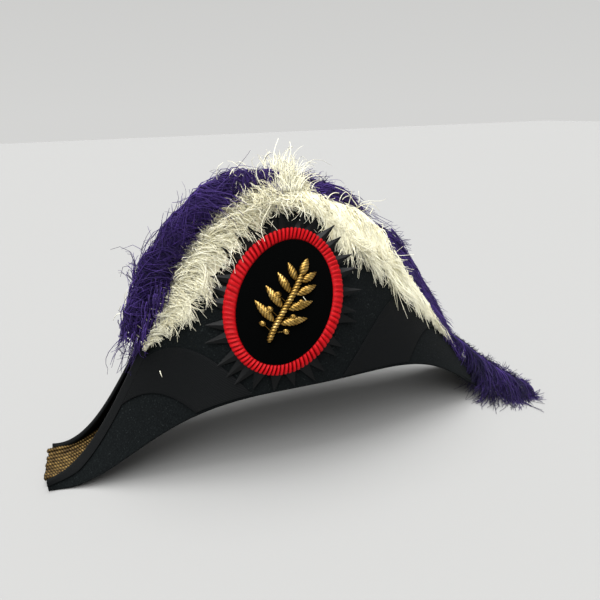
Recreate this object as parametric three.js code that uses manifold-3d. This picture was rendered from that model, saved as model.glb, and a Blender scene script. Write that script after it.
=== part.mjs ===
// A fore-and-aft dress hat of black felt: two stiff flaps turned up round a soft crown, ribbon bands, a
// pleated rosette badge, gold bullion in the front tip, and ostrich plumes along the ridge.
// Millimetres. X runs along the hat with the front tip at -X, -Y is the dressed side, +Z is up, and the
// two tips rest on z = 0 before the whole hat is centred.
import * as THREE from 'three';
import { mergeVertices } from 'three/addons/utils/BufferGeometryUtils.js';
import Module from 'manifold-3d';

const wasm = await Module();
wasm.setup();

// Flaps: the side view's arch and ridge, and the plan's width
const TIP_X = 210;
const APEX_X = -4;
const STATION_STEP = 14;
const REST_LENGTH = 7;
const ARCH_X = 6.5;
const ARCH_RISE = 69.5;
const ARCH_POWER = 1.8;
const RIDGE_HEIGHT = 207;
const RIDGE_POWER = 1.25;
const TIP_HEIGHT = 7;
const MID_HALF_WIDTH = 68;
const TIP_HALF_WIDTH = 27;
const WIDTH_POWER = 1.1;
const RIDGE_HALF_GAP = 4.2;
const RIDGE_FLARE = 3.4;
const TIP_LEAN = 2;
const BULGE = 14;
const BULGE_SPREAD = 47;
const FELT = 2.2;
const FOLD_SIZE = 3.5;
const FOLD_SHARE = 0.35;
const INNER_FOLD_SIZE = 8;
const INNER_FOLD_SHARE = 0.5;
const WALL_STEPS = 6;
const FOLD_STEPS = 2;

// Head opening and crown
const HEAD_HALF_LENGTH = 105;
const HEAD_HALF_WIDTH = 58;
const HEAD_POWER = 0.5;
const CROWN_TOP = 165;
const CROWN_FELT = 2;
const CROWN_STEPS = 6;
const CROWN_GAP = 0.5;

// Gap that every sewn piece keeps to what carries it
const GAP = 0.35;
const SEAM_HALF_GAP = 0.15;

// Ribbon binding over the flaps' top edges
const BINDING_WIDTH = 10;
const BINDING_SHARE = 0.5;
const BINDING_CLOTH = 0.8;
const BINDING_GAP = 0.6;
const BINDING_EASE = 0.4;

// Ribbon bands on the dressed side: x of each edge at the fold and below the binding
const BAND_CLOTH = 1;
const BAND_CLEAR = 1.5;
const BAND_STEPS = 8;
const BAND_COLUMNS = 4;
const BANDS = [
  { name: 'front_band', outerFoot: -97, innerFoot: -56, outerTop: -148, innerTop: -127 },
  { name: 'rear_band', outerFoot: 78, innerFoot: 15, outerTop: 140, innerTop: 118 },
];

// Badge on the dressed side: place on the flap, tilt, and half sizes across and along
const BADGE_X = -23;
const BADGE_RISE = 67.5;
const BADGE_TILT = THREE.MathUtils.degToRad(26);
const RING_OUTER = { across: 41.5, along: 58 };
const RING_WIDTH = 8.8;
const RING_HEIGHT = 3.6;
const RING_PLEATS = 36;
const PLEAT_DEPTH = 0.9;
const RING_PROFILE = [
  { inward: 1, rise: 0 },
  { inward: 0, rise: 0 },
  { inward: 0.05, rise: 0.65 },
  { inward: 0.5, rise: 1 },
  { inward: 0.95, rise: 0.65 },
];
const POINT_COUNT = 28;
const POINT_REACH = 12;
const POINT_NOTCH = 1;
const POINT_CLOTH = 1.1;
const FIELD_EDGE = 1.4;
const FIELD_CROWN = 1.6;
const FIELD_SIDES = 28;
const FIELD_STEPS = 3;

// Gold sprig embroidered on the badge: leaves along a short upright stem
const SPRIG_GAP = 0.7;
const STEM_FOOT = -31;
const STEM_TOP = 24;
const STEM_RADIUS = 1.5;
const STEM_BEND = 3;
const STEM_STEPS = 6;
const STEM_POINT = 1;
const STEM_SECTION = [
  { across: -1, rise: 0 },
  { across: 1, rise: 0 },
  { across: 0.8, rise: 1 },
  { across: 0, rise: 1.4 },
  { across: -0.8, rise: 1 },
];
const LEAF_THICKNESS = 2.2;
const LEAF_EDGE_RISE = 0.3;
const LEAF_SPREAD = [
  { t: 0.16, share: 0.6 },
  { t: 0.45, share: 1 },
  { t: 0.78, share: 0.62 },
];
const TOP_LEAF = { overlap: 2, length: 15, width: 6.5, turn: 6 };
const BERRY_RADIUS = 2.3;
const BERRY_SIDES = 6;
const BERRY_BELOW = 5;
const BERRY_ASIDE = 2.8;
const BERRY_PROFILE = [
  { share: 0, rise: 0 },
  { share: 1, rise: 0.3 },
  { share: 0.7, rise: 1 },
  { share: 0, rise: 1.2 },
];
const SPRIG_LEAVES = [
  { along: -15, length: 19, width: 7.5, turn: 58 },
  { along: -3, length: 18, width: 7, turn: 52 },
  { along: 9, length: 16, width: 6.5, turn: 46 },
  { along: 19, length: 13, width: 6, turn: 38 },
];

// Gold bullion cords laid lengthwise in the front tip
const CORD_COUNT = 7;
const CORD_RADIUS = 2.7;
const CORD_SIDES = 3;
const CORD_END_X = -140;
const CORD_OVERHANG = 2;
const CORD_BED = 0.9;

// Plumes: quills that follow the ridge, with locks of barbs that fall down a flap and stand above the ridge
const QUILL_WIDTH = 5;
const QUILL_DEPTH = 3.2;
const QUILL_HEIGHT = 0.93;
const QUILL_END = 3;
const LOCK_PITCH = 13;
const LOCK_VALLEY = 0.74;
const BARB_CLEAR = 0.8;
const STAND_LEAN = 0.6;

// Section of a plume: shares of its fall and puff on the flap, then of its rise, puff and sweep above it
const FALL_PROFILE = [
  { fall: 0, puff: 0 },
  { fall: 0.5, puff: 0.2 },
  { fall: 1, puff: 0.35 },
  { fall: 0.75, puff: 0.9 },
  { fall: 0.35, puff: 1 },
  { fall: 0, puff: 0.75 },
];
const RISE_PROFILE = [
  { rise: 0.4, puff: 0.55, sweep: 0.3 },
  { rise: 1, puff: 0.3, sweep: 0.6 },
  { rise: 0.3, puff: 0.05, sweep: 0.2 },
];

// White plume: where its locks lie, how far they fall, rise and sweep along, and how far they puff off
const WHITE_PLUME = [
  { x: -120, fall: 12, rise: 2, sweep: -4, puff: 5 },
  { x: -100, fall: 34, rise: 6, sweep: -8, puff: 10 },
  { x: -78, fall: 44, rise: 9, sweep: -12, puff: 12 },
  { x: -58, fall: 33, rise: 10, sweep: -10, puff: 12 },
  { x: -38, fall: 15, rise: 12, sweep: -6, puff: 10 },
  { x: -14, fall: 9, rise: 22, sweep: -2, puff: 8 },
  { x: 2, fall: 9, rise: 28, sweep: 1, puff: 8 },
  { x: 14, fall: 13, rise: 10, sweep: 3, puff: 8 },
  { x: 34, fall: 36, rise: 0, sweep: 6, puff: 7 },
  { x: 62, fall: 48, rise: 0, sweep: 10, puff: 6 },
  { x: 105, fall: 38, rise: 0, sweep: 12, puff: 5 },
  { x: 140, fall: 12, rise: 0, sweep: 8, puff: 3 },
];

// Purple plume on the far side of the ridge, by the same measures
const PURPLE_PLUME = [
  { x: -136, fall: 14, rise: 14, sweep: -6, puff: 6 },
  { x: -118, fall: 28, rise: 26, sweep: -8, puff: 9 },
  { x: -95, fall: 38, rise: 31, sweep: -8, puff: 11 },
  { x: -70, fall: 44, rise: 31, sweep: -6, puff: 12 },
  { x: -35, fall: 42, rise: 22, sweep: -4, puff: 12 },
  { x: 0, fall: 40, rise: 11, sweep: 3, puff: 12 },
  { x: 30, fall: 42, rise: 4, sweep: 6, puff: 11 },
  { x: 80, fall: 40, rise: 4, sweep: 8, puff: 10 },
  { x: 108, fall: 32, rise: 9, sweep: 10, puff: 9 },
  { x: 138, fall: 14, rise: 6, sweep: 10, puff: 6 },
];

// Purple tail that curls over the rear tip: its shaft beyond the ridge, and the reach of its locks along it
const TAIL_SEATS = [138, 147];
const TAIL_SHAFT = [
  new THREE.Vector3(163, -18, 53),
  new THREE.Vector3(180, -27, 37),
  new THREE.Vector3(201, -39, 22),
  new THREE.Vector3(224, -51, 9),
];
const TAIL_RADIUS = 1.8;
const TAIL_SHAFT_OUTLINE = [
  { across: -1, rise: 0 },
  { across: 0, rise: -1 },
  { across: 1, rise: 0 },
  { across: 0, rise: 1 },
];
const TAIL_STEPS = 13;
const TAIL_SHAFT_END = 0.95;
const TAIL_LOCKS = 8;
const TAIL_FLOOR = 0.6;
const TAIL_PLUME = [
  { t: 0.42, reach: 4 },
  { t: 0.55, reach: 12 },
  { t: 0.68, reach: 24 },
  { t: 0.85, reach: 33 },
  { t: 1, reach: 24 },
];
const TAIL_OUTLINE = [
  { across: 0, rise: 0.25 },
  { across: 0.45, rise: 0.1 },
  { across: 0.8, rise: -0.35 },
  { across: 0.95, rise: -0.9 },
  { across: 0.55, rise: -0.9 },
  { across: 0.15, rise: -0.3 },
  { across: -0.35, rise: -0.1 },
  { across: -0.4, rise: 0.3 },
];

const FELT_BLACK = { color: 0x16181a, roughness: 0.95 };
const RIBBON_BLACK = { color: 0x202124, roughness: 0.6 };
const SATIN_RED = { color: 0xd8141e, roughness: 0.45 };
const VELVET_BLACK = { color: 0x08080a, roughness: 1 };
const BULLION_GOLD = { color: 0xb58a3c, roughness: 0.4, metalness: 0.9 };
const PLUME_WHITE = { color: 0xefe9da, roughness: 0.9 };
const PLUME_PURPLE = { color: 0x3a1a78, roughness: 0.9 };

// Surfaces

const MERGE_DISTANCE = 1e-3;

function closedGeometry(points, triangles) {
  const soup = new THREE.BufferGeometry();
  soup.setAttribute('position', new THREE.Float32BufferAttribute(points.flatMap((p) => p.toArray()), 3));
  soup.setIndex(triangles.flat());
  const geometry = mergeVertices(soup, MERGE_DISTANCE);
  const index = geometry.index.array;
  const kept = [];
  for (let i = 0; i < index.length; i += 3) {
    const [a, b, c] = [index[i], index[i + 1], index[i + 2]];
    if (a !== b && b !== c && c !== a) kept.push(a, b, c);
  }
  geometry.setIndex(kept);
  return facingOut(geometry);
}

function facingOut(geometry) {
  const position = geometry.attributes.position;
  const index = geometry.index.array;
  const corner = (i) => new THREE.Vector3().fromBufferAttribute(position, index[i]);
  let volume = 0;
  for (let i = 0; i < index.length; i += 3) {
    volume += corner(i).dot(corner(i + 1).cross(corner(i + 2)));
  }
  if (volume < 0) {
    geometry.setIndex(Array.from(index).reverse());
  }
  return geometry;
}

// A closed solid through rings of equal count. A ring may shrink to a point. With loop the last ring joins
// the first, and otherwise each end is closed between the ring's first half and its second.
function loft(rings, { loop = false } = {}) {
  const count = rings[0].length;
  const triangles = [];
  const spans = loop ? rings.length : rings.length - 1;
  for (let i = 0; i < spans; i++) {
    const here = i * count;
    const next = ((i + 1) % rings.length) * count;
    for (let j = 0; j < count; j++) {
      const k = (j + 1) % count;
      triangles.push([here + j, here + k, next + k], [here + j, next + k, next + j]);
    }
  }
  if (!loop) {
    const end = (rings.length - 1) * count;
    for (let i = 0; i < count / 2 - 1; i++) {
      const [a, b, c, d] = [i, i + 1, count - 2 - i, count - 1 - i];
      triangles.push([b, a, d], [b, d, c]);
      triangles.push([end + a, end + b, end + c], [end + a, end + c, end + d]);
    }
  }
  return closedGeometry(rings.flat(), triangles);
}

function asManifold(geometry) {
  const mesh = new wasm.Mesh({
    numProp: 3,
    vertProperties: new Float32Array(geometry.attributes.position.array),
    triVerts: new Uint32Array(geometry.index.array),
  });
  return new wasm.Manifold(mesh);
}

function fuse(geometries) {
  const mesh = geometries.map(asManifold).reduce((whole, piece) => whole.add(piece)).getMesh();
  const geometry = new THREE.BufferGeometry();
  geometry.setAttribute('position', new THREE.Float32BufferAttribute(mesh.vertProperties, 3));
  geometry.setIndex(Array.from(mesh.triVerts));
  return geometry;
}

// A value of a table's column at x, straight between its rows
function tableValue(rows, key, column, at) {
  const next = rows.findIndex((row) => row[key] >= at);
  if (next === 0) return rows[0][column];
  if (next < 0) return rows.at(-1)[column];
  const [low, high] = [rows[next - 1], rows[next]];
  return THREE.MathUtils.mapLinear(at, low[key], high[key], low[column], high[column]);
}

// Shape of the flaps

const halfCosine = (u, power) => 0.5 + 0.5 * Math.cos(Math.PI * Math.min(1, u) ** power);
const halfLength = (x, apex) => (x < apex ? TIP_X + apex : TIP_X - apex);
const reach = (x) => Math.abs(x - APEX_X) / halfLength(x, APEX_X);

function foldCorner(x) {
  const lift = Math.abs(x - ARCH_X) / (halfLength(x, ARCH_X) - REST_LENGTH);
  const width = Math.max(0, Math.cos((Math.PI / 2) * Math.min(1, reach(x)))) ** WIDTH_POWER;
  return {
    y: THREE.MathUtils.lerp(TIP_HALF_WIDTH, MID_HALF_WIDTH, width),
    z: ARCH_RISE * halfCosine(lift, ARCH_POWER),
  };
}

function topEdge(x) {
  return {
    y: THREE.MathUtils.lerp(RIDGE_HALF_GAP, TIP_HALF_WIDTH - TIP_LEAN, reach(x) ** RIDGE_FLARE),
    z: THREE.MathUtils.lerp(TIP_HEIGHT, RIDGE_HEIGHT, halfCosine(reach(x), RIDGE_POWER)),
  };
}

function wallHeight(x) {
  const foot = foldCorner(x);
  const top = topEdge(x);
  return Math.hypot(top.y - foot.y, top.z - foot.z);
}

const foldSize = (x) => Math.min(FOLD_SIZE, FOLD_SHARE * wallHeight(x));

// Outer face of a flap at station x, from its fold at s = 0 to its top edge at s = 1
function wallPoint(x, s, side) {
  const foot = foldCorner(x);
  const top = topEdge(x);
  const start = foldSize(x) / wallHeight(x);
  const q = start + (1 - start) * s;
  const bulge = BULGE * Math.exp(-(((x - APEX_X) / BULGE_SPREAD) ** 2) / 2) * Math.sin(Math.PI * q);
  const y = THREE.MathUtils.lerp(foot.y, top.y, q) + bulge;
  return new THREE.Vector3(x, side * y, THREE.MathUtils.lerp(foot.z, top.z, q));
}

// A point on the outer face with the face's outward and upward directions, taken over a short step
const SLOPE_STEP = 0.5;
const SLOPE_SHARE = 0.01;

function wallFrame(x, s, side) {
  const point = wallPoint(x, s, side);
  const up = wallPoint(x, s + SLOPE_SHARE, side).sub(wallPoint(x, s - SLOPE_SHARE, side)).normalize();
  const along = wallPoint(x + SLOPE_STEP, s, side).sub(wallPoint(x - SLOPE_STEP, s, side)).normalize();
  const out = new THREE.Vector3().crossVectors(along, up).multiplyScalar(-side).normalize();
  return { point, up, along, out };
}

// The same within the upright section at station x
function sectionFrame(x, s, side) {
  const { point, up } = wallFrame(x, s, side);
  return { point, up, out: new THREE.Vector3(0, side * up.z, -side * up.y) };
}

const offWall = (x, s, side, lift) => {
  const { point, out } = wallFrame(x, s, side);
  return point.addScaledVector(out, lift);
};

const NEAR = -1;
const FAR = 1;
const STATIONS = [-TIP_X];
for (let x = REST_LENGTH - TIP_X; x <= TIP_X - REST_LENGTH; x += STATION_STEP) STATIONS.push(x);
STATIONS.push(TIP_X);

// Felt flap: the turned-up wall, its fold, and the floor that runs in to the centre seam or the head opening

function headEdge(x) {
  if (Math.abs(x) >= HEAD_HALF_LENGTH) return SEAM_HALF_GAP;
  const share = Math.cos((Math.PI / 2) * (x / HEAD_HALF_LENGTH)) ** HEAD_POWER;
  return THREE.MathUtils.lerp(SEAM_HALF_GAP, HEAD_HALF_WIDTH, share);
}

// Adds a rounded turn from the path's last point, round a corner, to the point where the floor starts
function bend(path, corner, floor) {
  const turn = new THREE.QuadraticBezierCurve3(path.at(-1), corner, floor);
  for (let i = 1; i <= FOLD_STEPS; i++) path.push(turn.getPoint(i / FOLD_STEPS));
}

function flapSection(x, side) {
  const outer = [];
  const inner = [];
  const innerFold = Math.min(INNER_FOLD_SIZE, INNER_FOLD_SHARE * wallHeight(x));
  const innerStart = (innerFold - foldSize(x)) / (wallHeight(x) - foldSize(x));
  for (let i = WALL_STEPS; i >= 0; i--) {
    outer.push(wallPoint(x, i / WALL_STEPS, side));
    const { point, out } = sectionFrame(x, THREE.MathUtils.lerp(innerStart, 1, i / WALL_STEPS), side);
    inner.push(point.addScaledVector(out, -FELT));
  }
  const foot = foldCorner(x);
  const floorTop = foot.z + FELT;
  const low = inner.at(-1);
  const { up } = sectionFrame(x, innerStart, side);
  const cornerY = low.y + (up.y * (floorTop - low.z)) / up.z;
  const floorPoint = (fold, z) => new THREE.Vector3(x, side * (foot.y - fold), z);
  bend(outer, floorPoint(0, foot.z), floorPoint(foldSize(x), foot.z));
  bend(inner, new THREE.Vector3(x, cornerY, floorTop), floorPoint(innerFold, floorTop));
  outer.push(new THREE.Vector3(x, side * headEdge(x), foot.z));
  inner.push(new THREE.Vector3(x, side * headEdge(x), floorTop));
  return [...outer, ...inner.reverse()];
}

const flapGeometry = (side) => loft(STATIONS.map((x) => flapSection(x, side)));

// Crown: a felt dome whose rim follows the head opening, open below

function crownRim(inset) {
  const rim = [];
  const stations = STATIONS.filter((x) => Math.abs(x) < HEAD_HALF_LENGTH);
  const place = (x, y) => {
    const radius = Math.hypot(x, y);
    const share = (radius - inset) / radius;
    return new THREE.Vector3(x * share, y * share, foldCorner(x).z);
  };
  const end = HEAD_HALF_LENGTH - 2 * CROWN_GAP;
  rim.push(place(-end, 0));
  for (const x of stations) rim.push(place(x, -(headEdge(x) - CROWN_GAP)));
  rim.push(place(end, 0));
  for (const x of stations.toReversed()) rim.push(place(x, headEdge(x) - CROWN_GAP));
  return rim;
}

function crownDome(inset) {
  const rim = crownRim(inset);
  const rings = [];
  for (let i = 0; i <= CROWN_STEPS; i++) {
    const angle = (Math.PI / 2) * (i / CROWN_STEPS);
    const spread = i === CROWN_STEPS ? 0 : Math.cos(angle);
    rings.push(rim.map((p) => new THREE.Vector3(
      p.x * spread,
      p.y * spread,
      THREE.MathUtils.lerp(p.z, CROWN_TOP - inset, Math.sin(angle)),
    )));
  }
  return rings;
}

const crownGeometry = () => loft([...crownDome(0), ...crownDome(CROWN_FELT).reverse()], { loop: true });

// Binding: ribbon folded over a flap's top edge

const bindingLeg = (x) => Math.min(BINDING_WIDTH, BINDING_SHARE * wallHeight(x));

function bindingGeometry(side) {
  const rings = STATIONS.map((x) => {
    const leg = bindingLeg(x) / wallHeight(x);
    const low = sectionFrame(x, 1 - leg, side);
    const top = sectionFrame(x, 1, side);
    const place = ({ point, up, out }, lift, over) => point.clone()
      .addScaledVector(out, lift)
      .addScaledVector(up, over);
    const path = (clear) => [
      place(low, clear, 0),
      place(top, clear, clear),
      place(top, -FELT - clear, clear),
      place(low, -FELT - BINDING_EASE - clear, 0),
    ];
    return [...path(BINDING_GAP), ...path(BINDING_GAP + BINDING_CLOTH).reverse()];
  });
  return loft(rings);
}

// Ribbon band laid slantwise over the dressed side

function bandGeometry({ outerFoot, innerFoot, outerTop, innerTop }) {
  const topShare = (x) => 1 - (bindingLeg(x) + BAND_CLEAR) / wallHeight(x);
  const place = (across, t, lift) => {
    const foot = THREE.MathUtils.lerp(outerFoot, innerFoot, across);
    const top = THREE.MathUtils.lerp(outerTop, innerTop, across);
    return offWall(THREE.MathUtils.lerp(foot, top, t), t * topShare(top), NEAR, lift);
  };
  const across = Array.from({ length: BAND_COLUMNS + 1 }, (_, i) => i / BAND_COLUMNS);
  const rows = [];
  for (let i = 0; i <= BAND_STEPS; i++) {
    const under = across.map((share) => place(share, i / BAND_STEPS, GAP));
    const over = across.map((share) => place(share, i / BAND_STEPS, GAP + BAND_CLOTH));
    rows.push([...under, ...over.reverse()]);
  }
  const end = (t) => rows[0].map(() => place(0.5, t, GAP + BAND_CLOTH / 2));
  return loft([end(0), ...rows, end(1)]);
}

// Badge: its own plane of across and along, tilted and laid on the curved flap

function badgePoint(across, along, lift) {
  const x = BADGE_X + across * Math.cos(BADGE_TILT) + along * Math.sin(BADGE_TILT);
  const rise = BADGE_RISE - across * Math.sin(BADGE_TILT) + along * Math.cos(BADGE_TILT);
  const drop = foldCorner(BADGE_X).z - foldCorner(x).z;
  return offWall(x, (rise + drop) / wallHeight(x), NEAR, lift);
}

const POINTS_LIFT = 2 * GAP;
const RING_LIFT = POINTS_LIFT + 2 * POINT_CLOTH + GAP;
const badgeOval = (grow, angle, lift) => badgePoint(
  (RING_OUTER.across + grow) * Math.cos(angle),
  (RING_OUTER.along + grow) * Math.sin(angle),
  lift,
);

// Folded ribbon points round the badge, on one backing ring
function badgePointsGeometry() {
  const rings = [];
  const steps = 2 * POINT_COUNT;
  for (let i = 0; i < steps; i++) {
    const angle = (2 * Math.PI * i) / steps;
    const isTip = i % 2 === 0;
    const grow = isTip ? POINT_REACH : POINT_NOTCH;
    const fold = isTip ? 2 * POINT_CLOTH : POINT_CLOTH;
    rings.push([
      badgeOval(-RING_WIDTH, angle, POINTS_LIFT),
      badgeOval(grow, angle, POINTS_LIFT),
      badgeOval(grow, angle, POINTS_LIFT + POINT_CLOTH),
      badgeOval(0, angle, POINTS_LIFT + fold),
      badgeOval(-RING_WIDTH, angle, POINTS_LIFT + POINT_CLOTH),
    ]);
  }
  return loft(rings, { loop: true });
}

// Pleated ribbon ring
function badgeRingGeometry() {
  const rings = [];
  const steps = 2 * RING_PLEATS;
  for (let i = 0; i < steps; i++) {
    const angle = (2 * Math.PI * i) / steps;
    const height = RING_HEIGHT - (i % 2) * PLEAT_DEPTH;
    rings.push(RING_PROFILE.map(({ inward, rise }) => (
      badgeOval(-inward * RING_WIDTH, angle, RING_LIFT + rise * height)
    )));
  }
  return loft(rings, { loop: true });
}

// Padded velvet field inside the ring
const FIELD_GROW = -RING_WIDTH - GAP;

function fieldLift(share) {
  return RING_LIFT + FIELD_EDGE + FIELD_CROWN * (1 - share * share);
}

function badgeFieldGeometry() {
  const ring = (share, lift) => Array.from({ length: FIELD_SIDES }, (_, i) => {
    const angle = (2 * Math.PI * i) / FIELD_SIDES;
    return badgePoint(
      share * (RING_OUTER.across + FIELD_GROW) * Math.cos(angle),
      share * (RING_OUTER.along + FIELD_GROW) * Math.sin(angle),
      lift,
    );
  });
  const shares = Array.from({ length: FIELD_STEPS + 1 }, (_, i) => i / FIELD_STEPS);
  const under = shares.map((share) => ring(share, RING_LIFT));
  const over = shares.toReversed().map((share) => ring(share, fieldLift(share)));
  return loft([...under, ...over]);
}

// Embroidered sprig: stem, paired leaves, a leaf at the top, and a berry beside each pair
function sprigPoint(across, along, height) {
  const acrossShare = across / (RING_OUTER.across + FIELD_GROW);
  const alongShare = along / (RING_OUTER.along + FIELD_GROW);
  const lift = fieldLift(Math.hypot(acrossShare, alongShare)) + SPRIG_GAP + height;
  return badgePoint(across, along, lift);
}

const stemAcross = (along) => STEM_BEND * Math.sin((Math.PI * along) / (STEM_TOP - STEM_FOOT));

function stemGeometry() {
  const rings = [];
  for (let i = 0; i <= STEM_STEPS; i++) {
    const along = THREE.MathUtils.lerp(STEM_FOOT, STEM_TOP, i / STEM_STEPS);
    rings.push(STEM_SECTION.map(({ across, rise }) => (
      sprigPoint(stemAcross(along) + across * STEM_RADIUS, along, rise * STEM_RADIUS)
    )));
  }
  const point = (along) => STEM_SECTION.map(() => sprigPoint(stemAcross(along), along, STEM_RADIUS / 2));
  return loft([point(STEM_FOOT - STEM_POINT), ...rings, point(STEM_TOP + STEM_POINT)]);
}

function leafGeometry(across, along, length, width, turn) {
  const angle = THREE.MathUtils.degToRad(turn);
  const place = (t, side, height) => sprigPoint(
    across + t * length * Math.sin(angle) + side * Math.cos(angle),
    along + t * length * Math.cos(angle) - side * Math.sin(angle),
    height,
  );
  const edge = LEAF_EDGE_RISE * LEAF_THICKNESS;
  const rings = LEAF_SPREAD.map(({ t, share }) => [
    place(t, (-share * width) / 2, edge),
    place(t, 0, 0),
    place(t, (share * width) / 2, edge),
    place(t, 0, LEAF_THICKNESS * share),
  ]);
  const point = (t) => rings[0].map(() => place(t, 0, edge));
  return loft([point(0), ...rings, point(1)]);
}

function berryGeometry(across, along) {
  const place = (angle, share, height) => sprigPoint(
    across + share * BERRY_RADIUS * Math.cos(angle),
    along + share * BERRY_RADIUS * Math.sin(angle),
    height,
  );
  const angles = Array.from({ length: BERRY_SIDES }, (_, i) => (2 * Math.PI * i) / BERRY_SIDES);
  return loft(BERRY_PROFILE.map(({ share, rise }) => (
    angles.map((angle) => place(angle, share, rise * BERRY_RADIUS))
  )));
}

function badgeSprigGeometry() {
  const pieces = [stemGeometry()];
  for (const { along, length, width, turn } of SPRIG_LEAVES) {
    for (const side of [-1, 1]) {
      pieces.push(leafGeometry(stemAcross(along), along, length, width, side * turn));
      const berryAlong = along - BERRY_BELOW;
      pieces.push(berryGeometry(stemAcross(berryAlong) + side * BERRY_ASIDE, berryAlong));
    }
  }
  const { overlap, length, width, turn } = TOP_LEAF;
  pieces.push(leafGeometry(stemAcross(STEM_TOP), STEM_TOP - overlap, length, width, turn));
  return fuse(pieces);
}

// Bullion cords side by side on the floor of the front tip
function tipBullionGeometry() {
  const halfWidth = CORD_COUNT * CORD_RADIUS;
  const outline = [];
  for (let cord = 0; cord < CORD_COUNT; cord++) {
    const middle = -halfWidth + (2 * cord + 1) * CORD_RADIUS;
    for (let i = 0; i < CORD_SIDES; i++) {
      const angle = Math.PI * (1 - i / CORD_SIDES);
      outline.push({ y: middle + CORD_RADIUS * Math.cos(angle), rise: CORD_RADIUS * Math.sin(angle) });
    }
  }
  outline.push({ y: halfWidth, rise: 0 });
  const stations = [-TIP_X - CORD_OVERHANG, ...STATIONS.filter((x) => x < CORD_END_X)];
  return loft(stations.map((x) => {
    const floor = foldCorner(Math.max(x, -TIP_X)).z + FELT + 2 * GAP;
    const over = outline.map(({ y, rise }) => new THREE.Vector3(x, y, floor + CORD_BED + rise));
    const under = outline.map(({ y }) => new THREE.Vector3(x, y, floor));
    return [...over, ...under.reverse()];
  }));
}

// Plumes

const QUILL_LIFT = BINDING_GAP + BINDING_CLOTH + GAP + QUILL_DEPTH / 2;

function quillGeometry(from, to, side) {
  const inside = STATIONS.filter((x) => x > from && x < to);
  const rings = [from, ...inside, to].map((x) => {
    const { point, up, out } = wallFrame(x, QUILL_HEIGHT, side);
    point.addScaledVector(out, QUILL_LIFT);
    const place = (a, b) => point.clone()
      .addScaledVector(up, (a * QUILL_WIDTH) / 2)
      .addScaledVector(out, (b * QUILL_DEPTH) / 2);
    return [place(-1, -1), place(1, -1), place(1, 1), place(-1, 1)];
  });
  return loft(rings);
}

// Outline of a plume at x: down the flap, back over the barbs, and up past the ridge
function plumeSection(x, size, side) {
  const under = QUILL_LIFT + BARB_CLEAR - QUILL_DEPTH / 2;
  const fallen = ({ fall, puff }) => {
    const there = x + fall * size.sweep;
    const s = QUILL_HEIGHT - (fall * size.fall) / wallHeight(there);
    return offWall(there, s, side, under + puff * size.puff);
  };
  const { point, up, out } = wallFrame(x, QUILL_HEIGHT, side);
  const ridge = point.addScaledVector(up, (1 - QUILL_HEIGHT) * wallHeight(x));
  const stand = up.clone().addScaledVector(out, STAND_LEAN).normalize();
  const risen = ({ rise, puff, sweep }) => ridge.clone()
    .addScaledVector(stand, rise * size.rise)
    .addScaledVector(out, under + puff * size.puff)
    .add(new THREE.Vector3(sweep * size.sweep, 0, 0));
  return [...FALL_PROFILE.map(fallen), ...RISE_PROFILE.map(risen)];
}

function plumeGeometry(rows, side) {
  const [from, to] = [rows[0].x, rows.at(-1).x];
  const columns = 2 * Math.round((to - from) / LOCK_PITCH);
  const rings = [];
  for (let i = 0; i <= columns; i++) {
    const x = THREE.MathUtils.lerp(from, to, i / columns);
    const lock = i % 2 === 0 ? LOCK_VALLEY : 1;
    rings.push(plumeSection(x, {
      fall: lock * tableValue(rows, 'x', 'fall', x),
      rise: lock * tableValue(rows, 'x', 'rise', x),
      sweep: tableValue(rows, 'x', 'sweep', x),
      puff: Math.sqrt(lock) * tableValue(rows, 'x', 'puff', x),
    }, side));
  }
  const end = (ring) => ring.map(() => ring[0].clone().lerp(ring[FALL_PROFILE.length - 1], 0.5));
  const barbs = loft([end(rings[0]), ...rings, end(rings.at(-1))]);
  return fuse([quillGeometry(from - QUILL_END, to + QUILL_END, side), barbs]);
}

// Tail: a bare shaft that leaves the ridge and curls over the rear tip, with locks that droop to the surface
function purpleTailGeometry() {
  const seat = (x) => {
    const { point, up, along } = wallFrame(x, 1, NEAR);
    const above = up.clone().addScaledVector(along, -up.dot(along)).normalize();
    return point.addScaledVector(above, BINDING_GAP + BINDING_CLOTH + GAP + TAIL_RADIUS);
  };
  const shaft = new THREE.CatmullRomCurve3([...TAIL_SEATS.map(seat), ...TAIL_SHAFT]);
  const upward = new THREE.Vector3(0, 0, 1);
  const ringAt = (t, outline, size) => {
    const tangent = shaft.getTangent(t);
    const side = new THREE.Vector3().crossVectors(tangent, upward).normalize();
    const above = new THREE.Vector3().crossVectors(side, tangent);
    return outline.map(({ across, rise }) => {
      const point = shaft.getPoint(t);
      point.addScaledVector(side, size * across).addScaledVector(above, size * rise);
      return point.setZ(Math.max(point.z, TAIL_FLOOR));
    });
  };
  const end = (ring, t) => ring.map(() => shaft.getPoint(t));

  const shaftRings = [];
  for (let i = 0; i <= TAIL_STEPS; i++) {
    shaftRings.push(ringAt((TAIL_SHAFT_END * i) / TAIL_STEPS, TAIL_SHAFT_OUTLINE, TAIL_RADIUS));
  }
  const plumeRings = [];
  const start = TAIL_PLUME[0].t;
  const columns = 2 * TAIL_LOCKS;
  for (let i = 0; i <= columns; i++) {
    const t = THREE.MathUtils.lerp(start, 1, i / columns);
    const lock = i % 2 === 0 ? LOCK_VALLEY : 1;
    plumeRings.push(ringAt(t, TAIL_OUTLINE, lock * tableValue(TAIL_PLUME, 't', 'reach', t)));
  }
  return fuse([
    loft([end(shaftRings[0], 0), ...shaftRings, end(shaftRings[0], TAIL_SHAFT_END)]),
    loft([end(plumeRings[0], start), ...plumeRings, end(plumeRings[0], 1)]),
  ]);
}

// The hat

const hat = new THREE.Group();

function add(name, geometry, look) {
  const mesh = new THREE.Mesh(geometry, new THREE.MeshStandardMaterial(look));
  mesh.name = name;
  hat.add(mesh);
}

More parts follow.
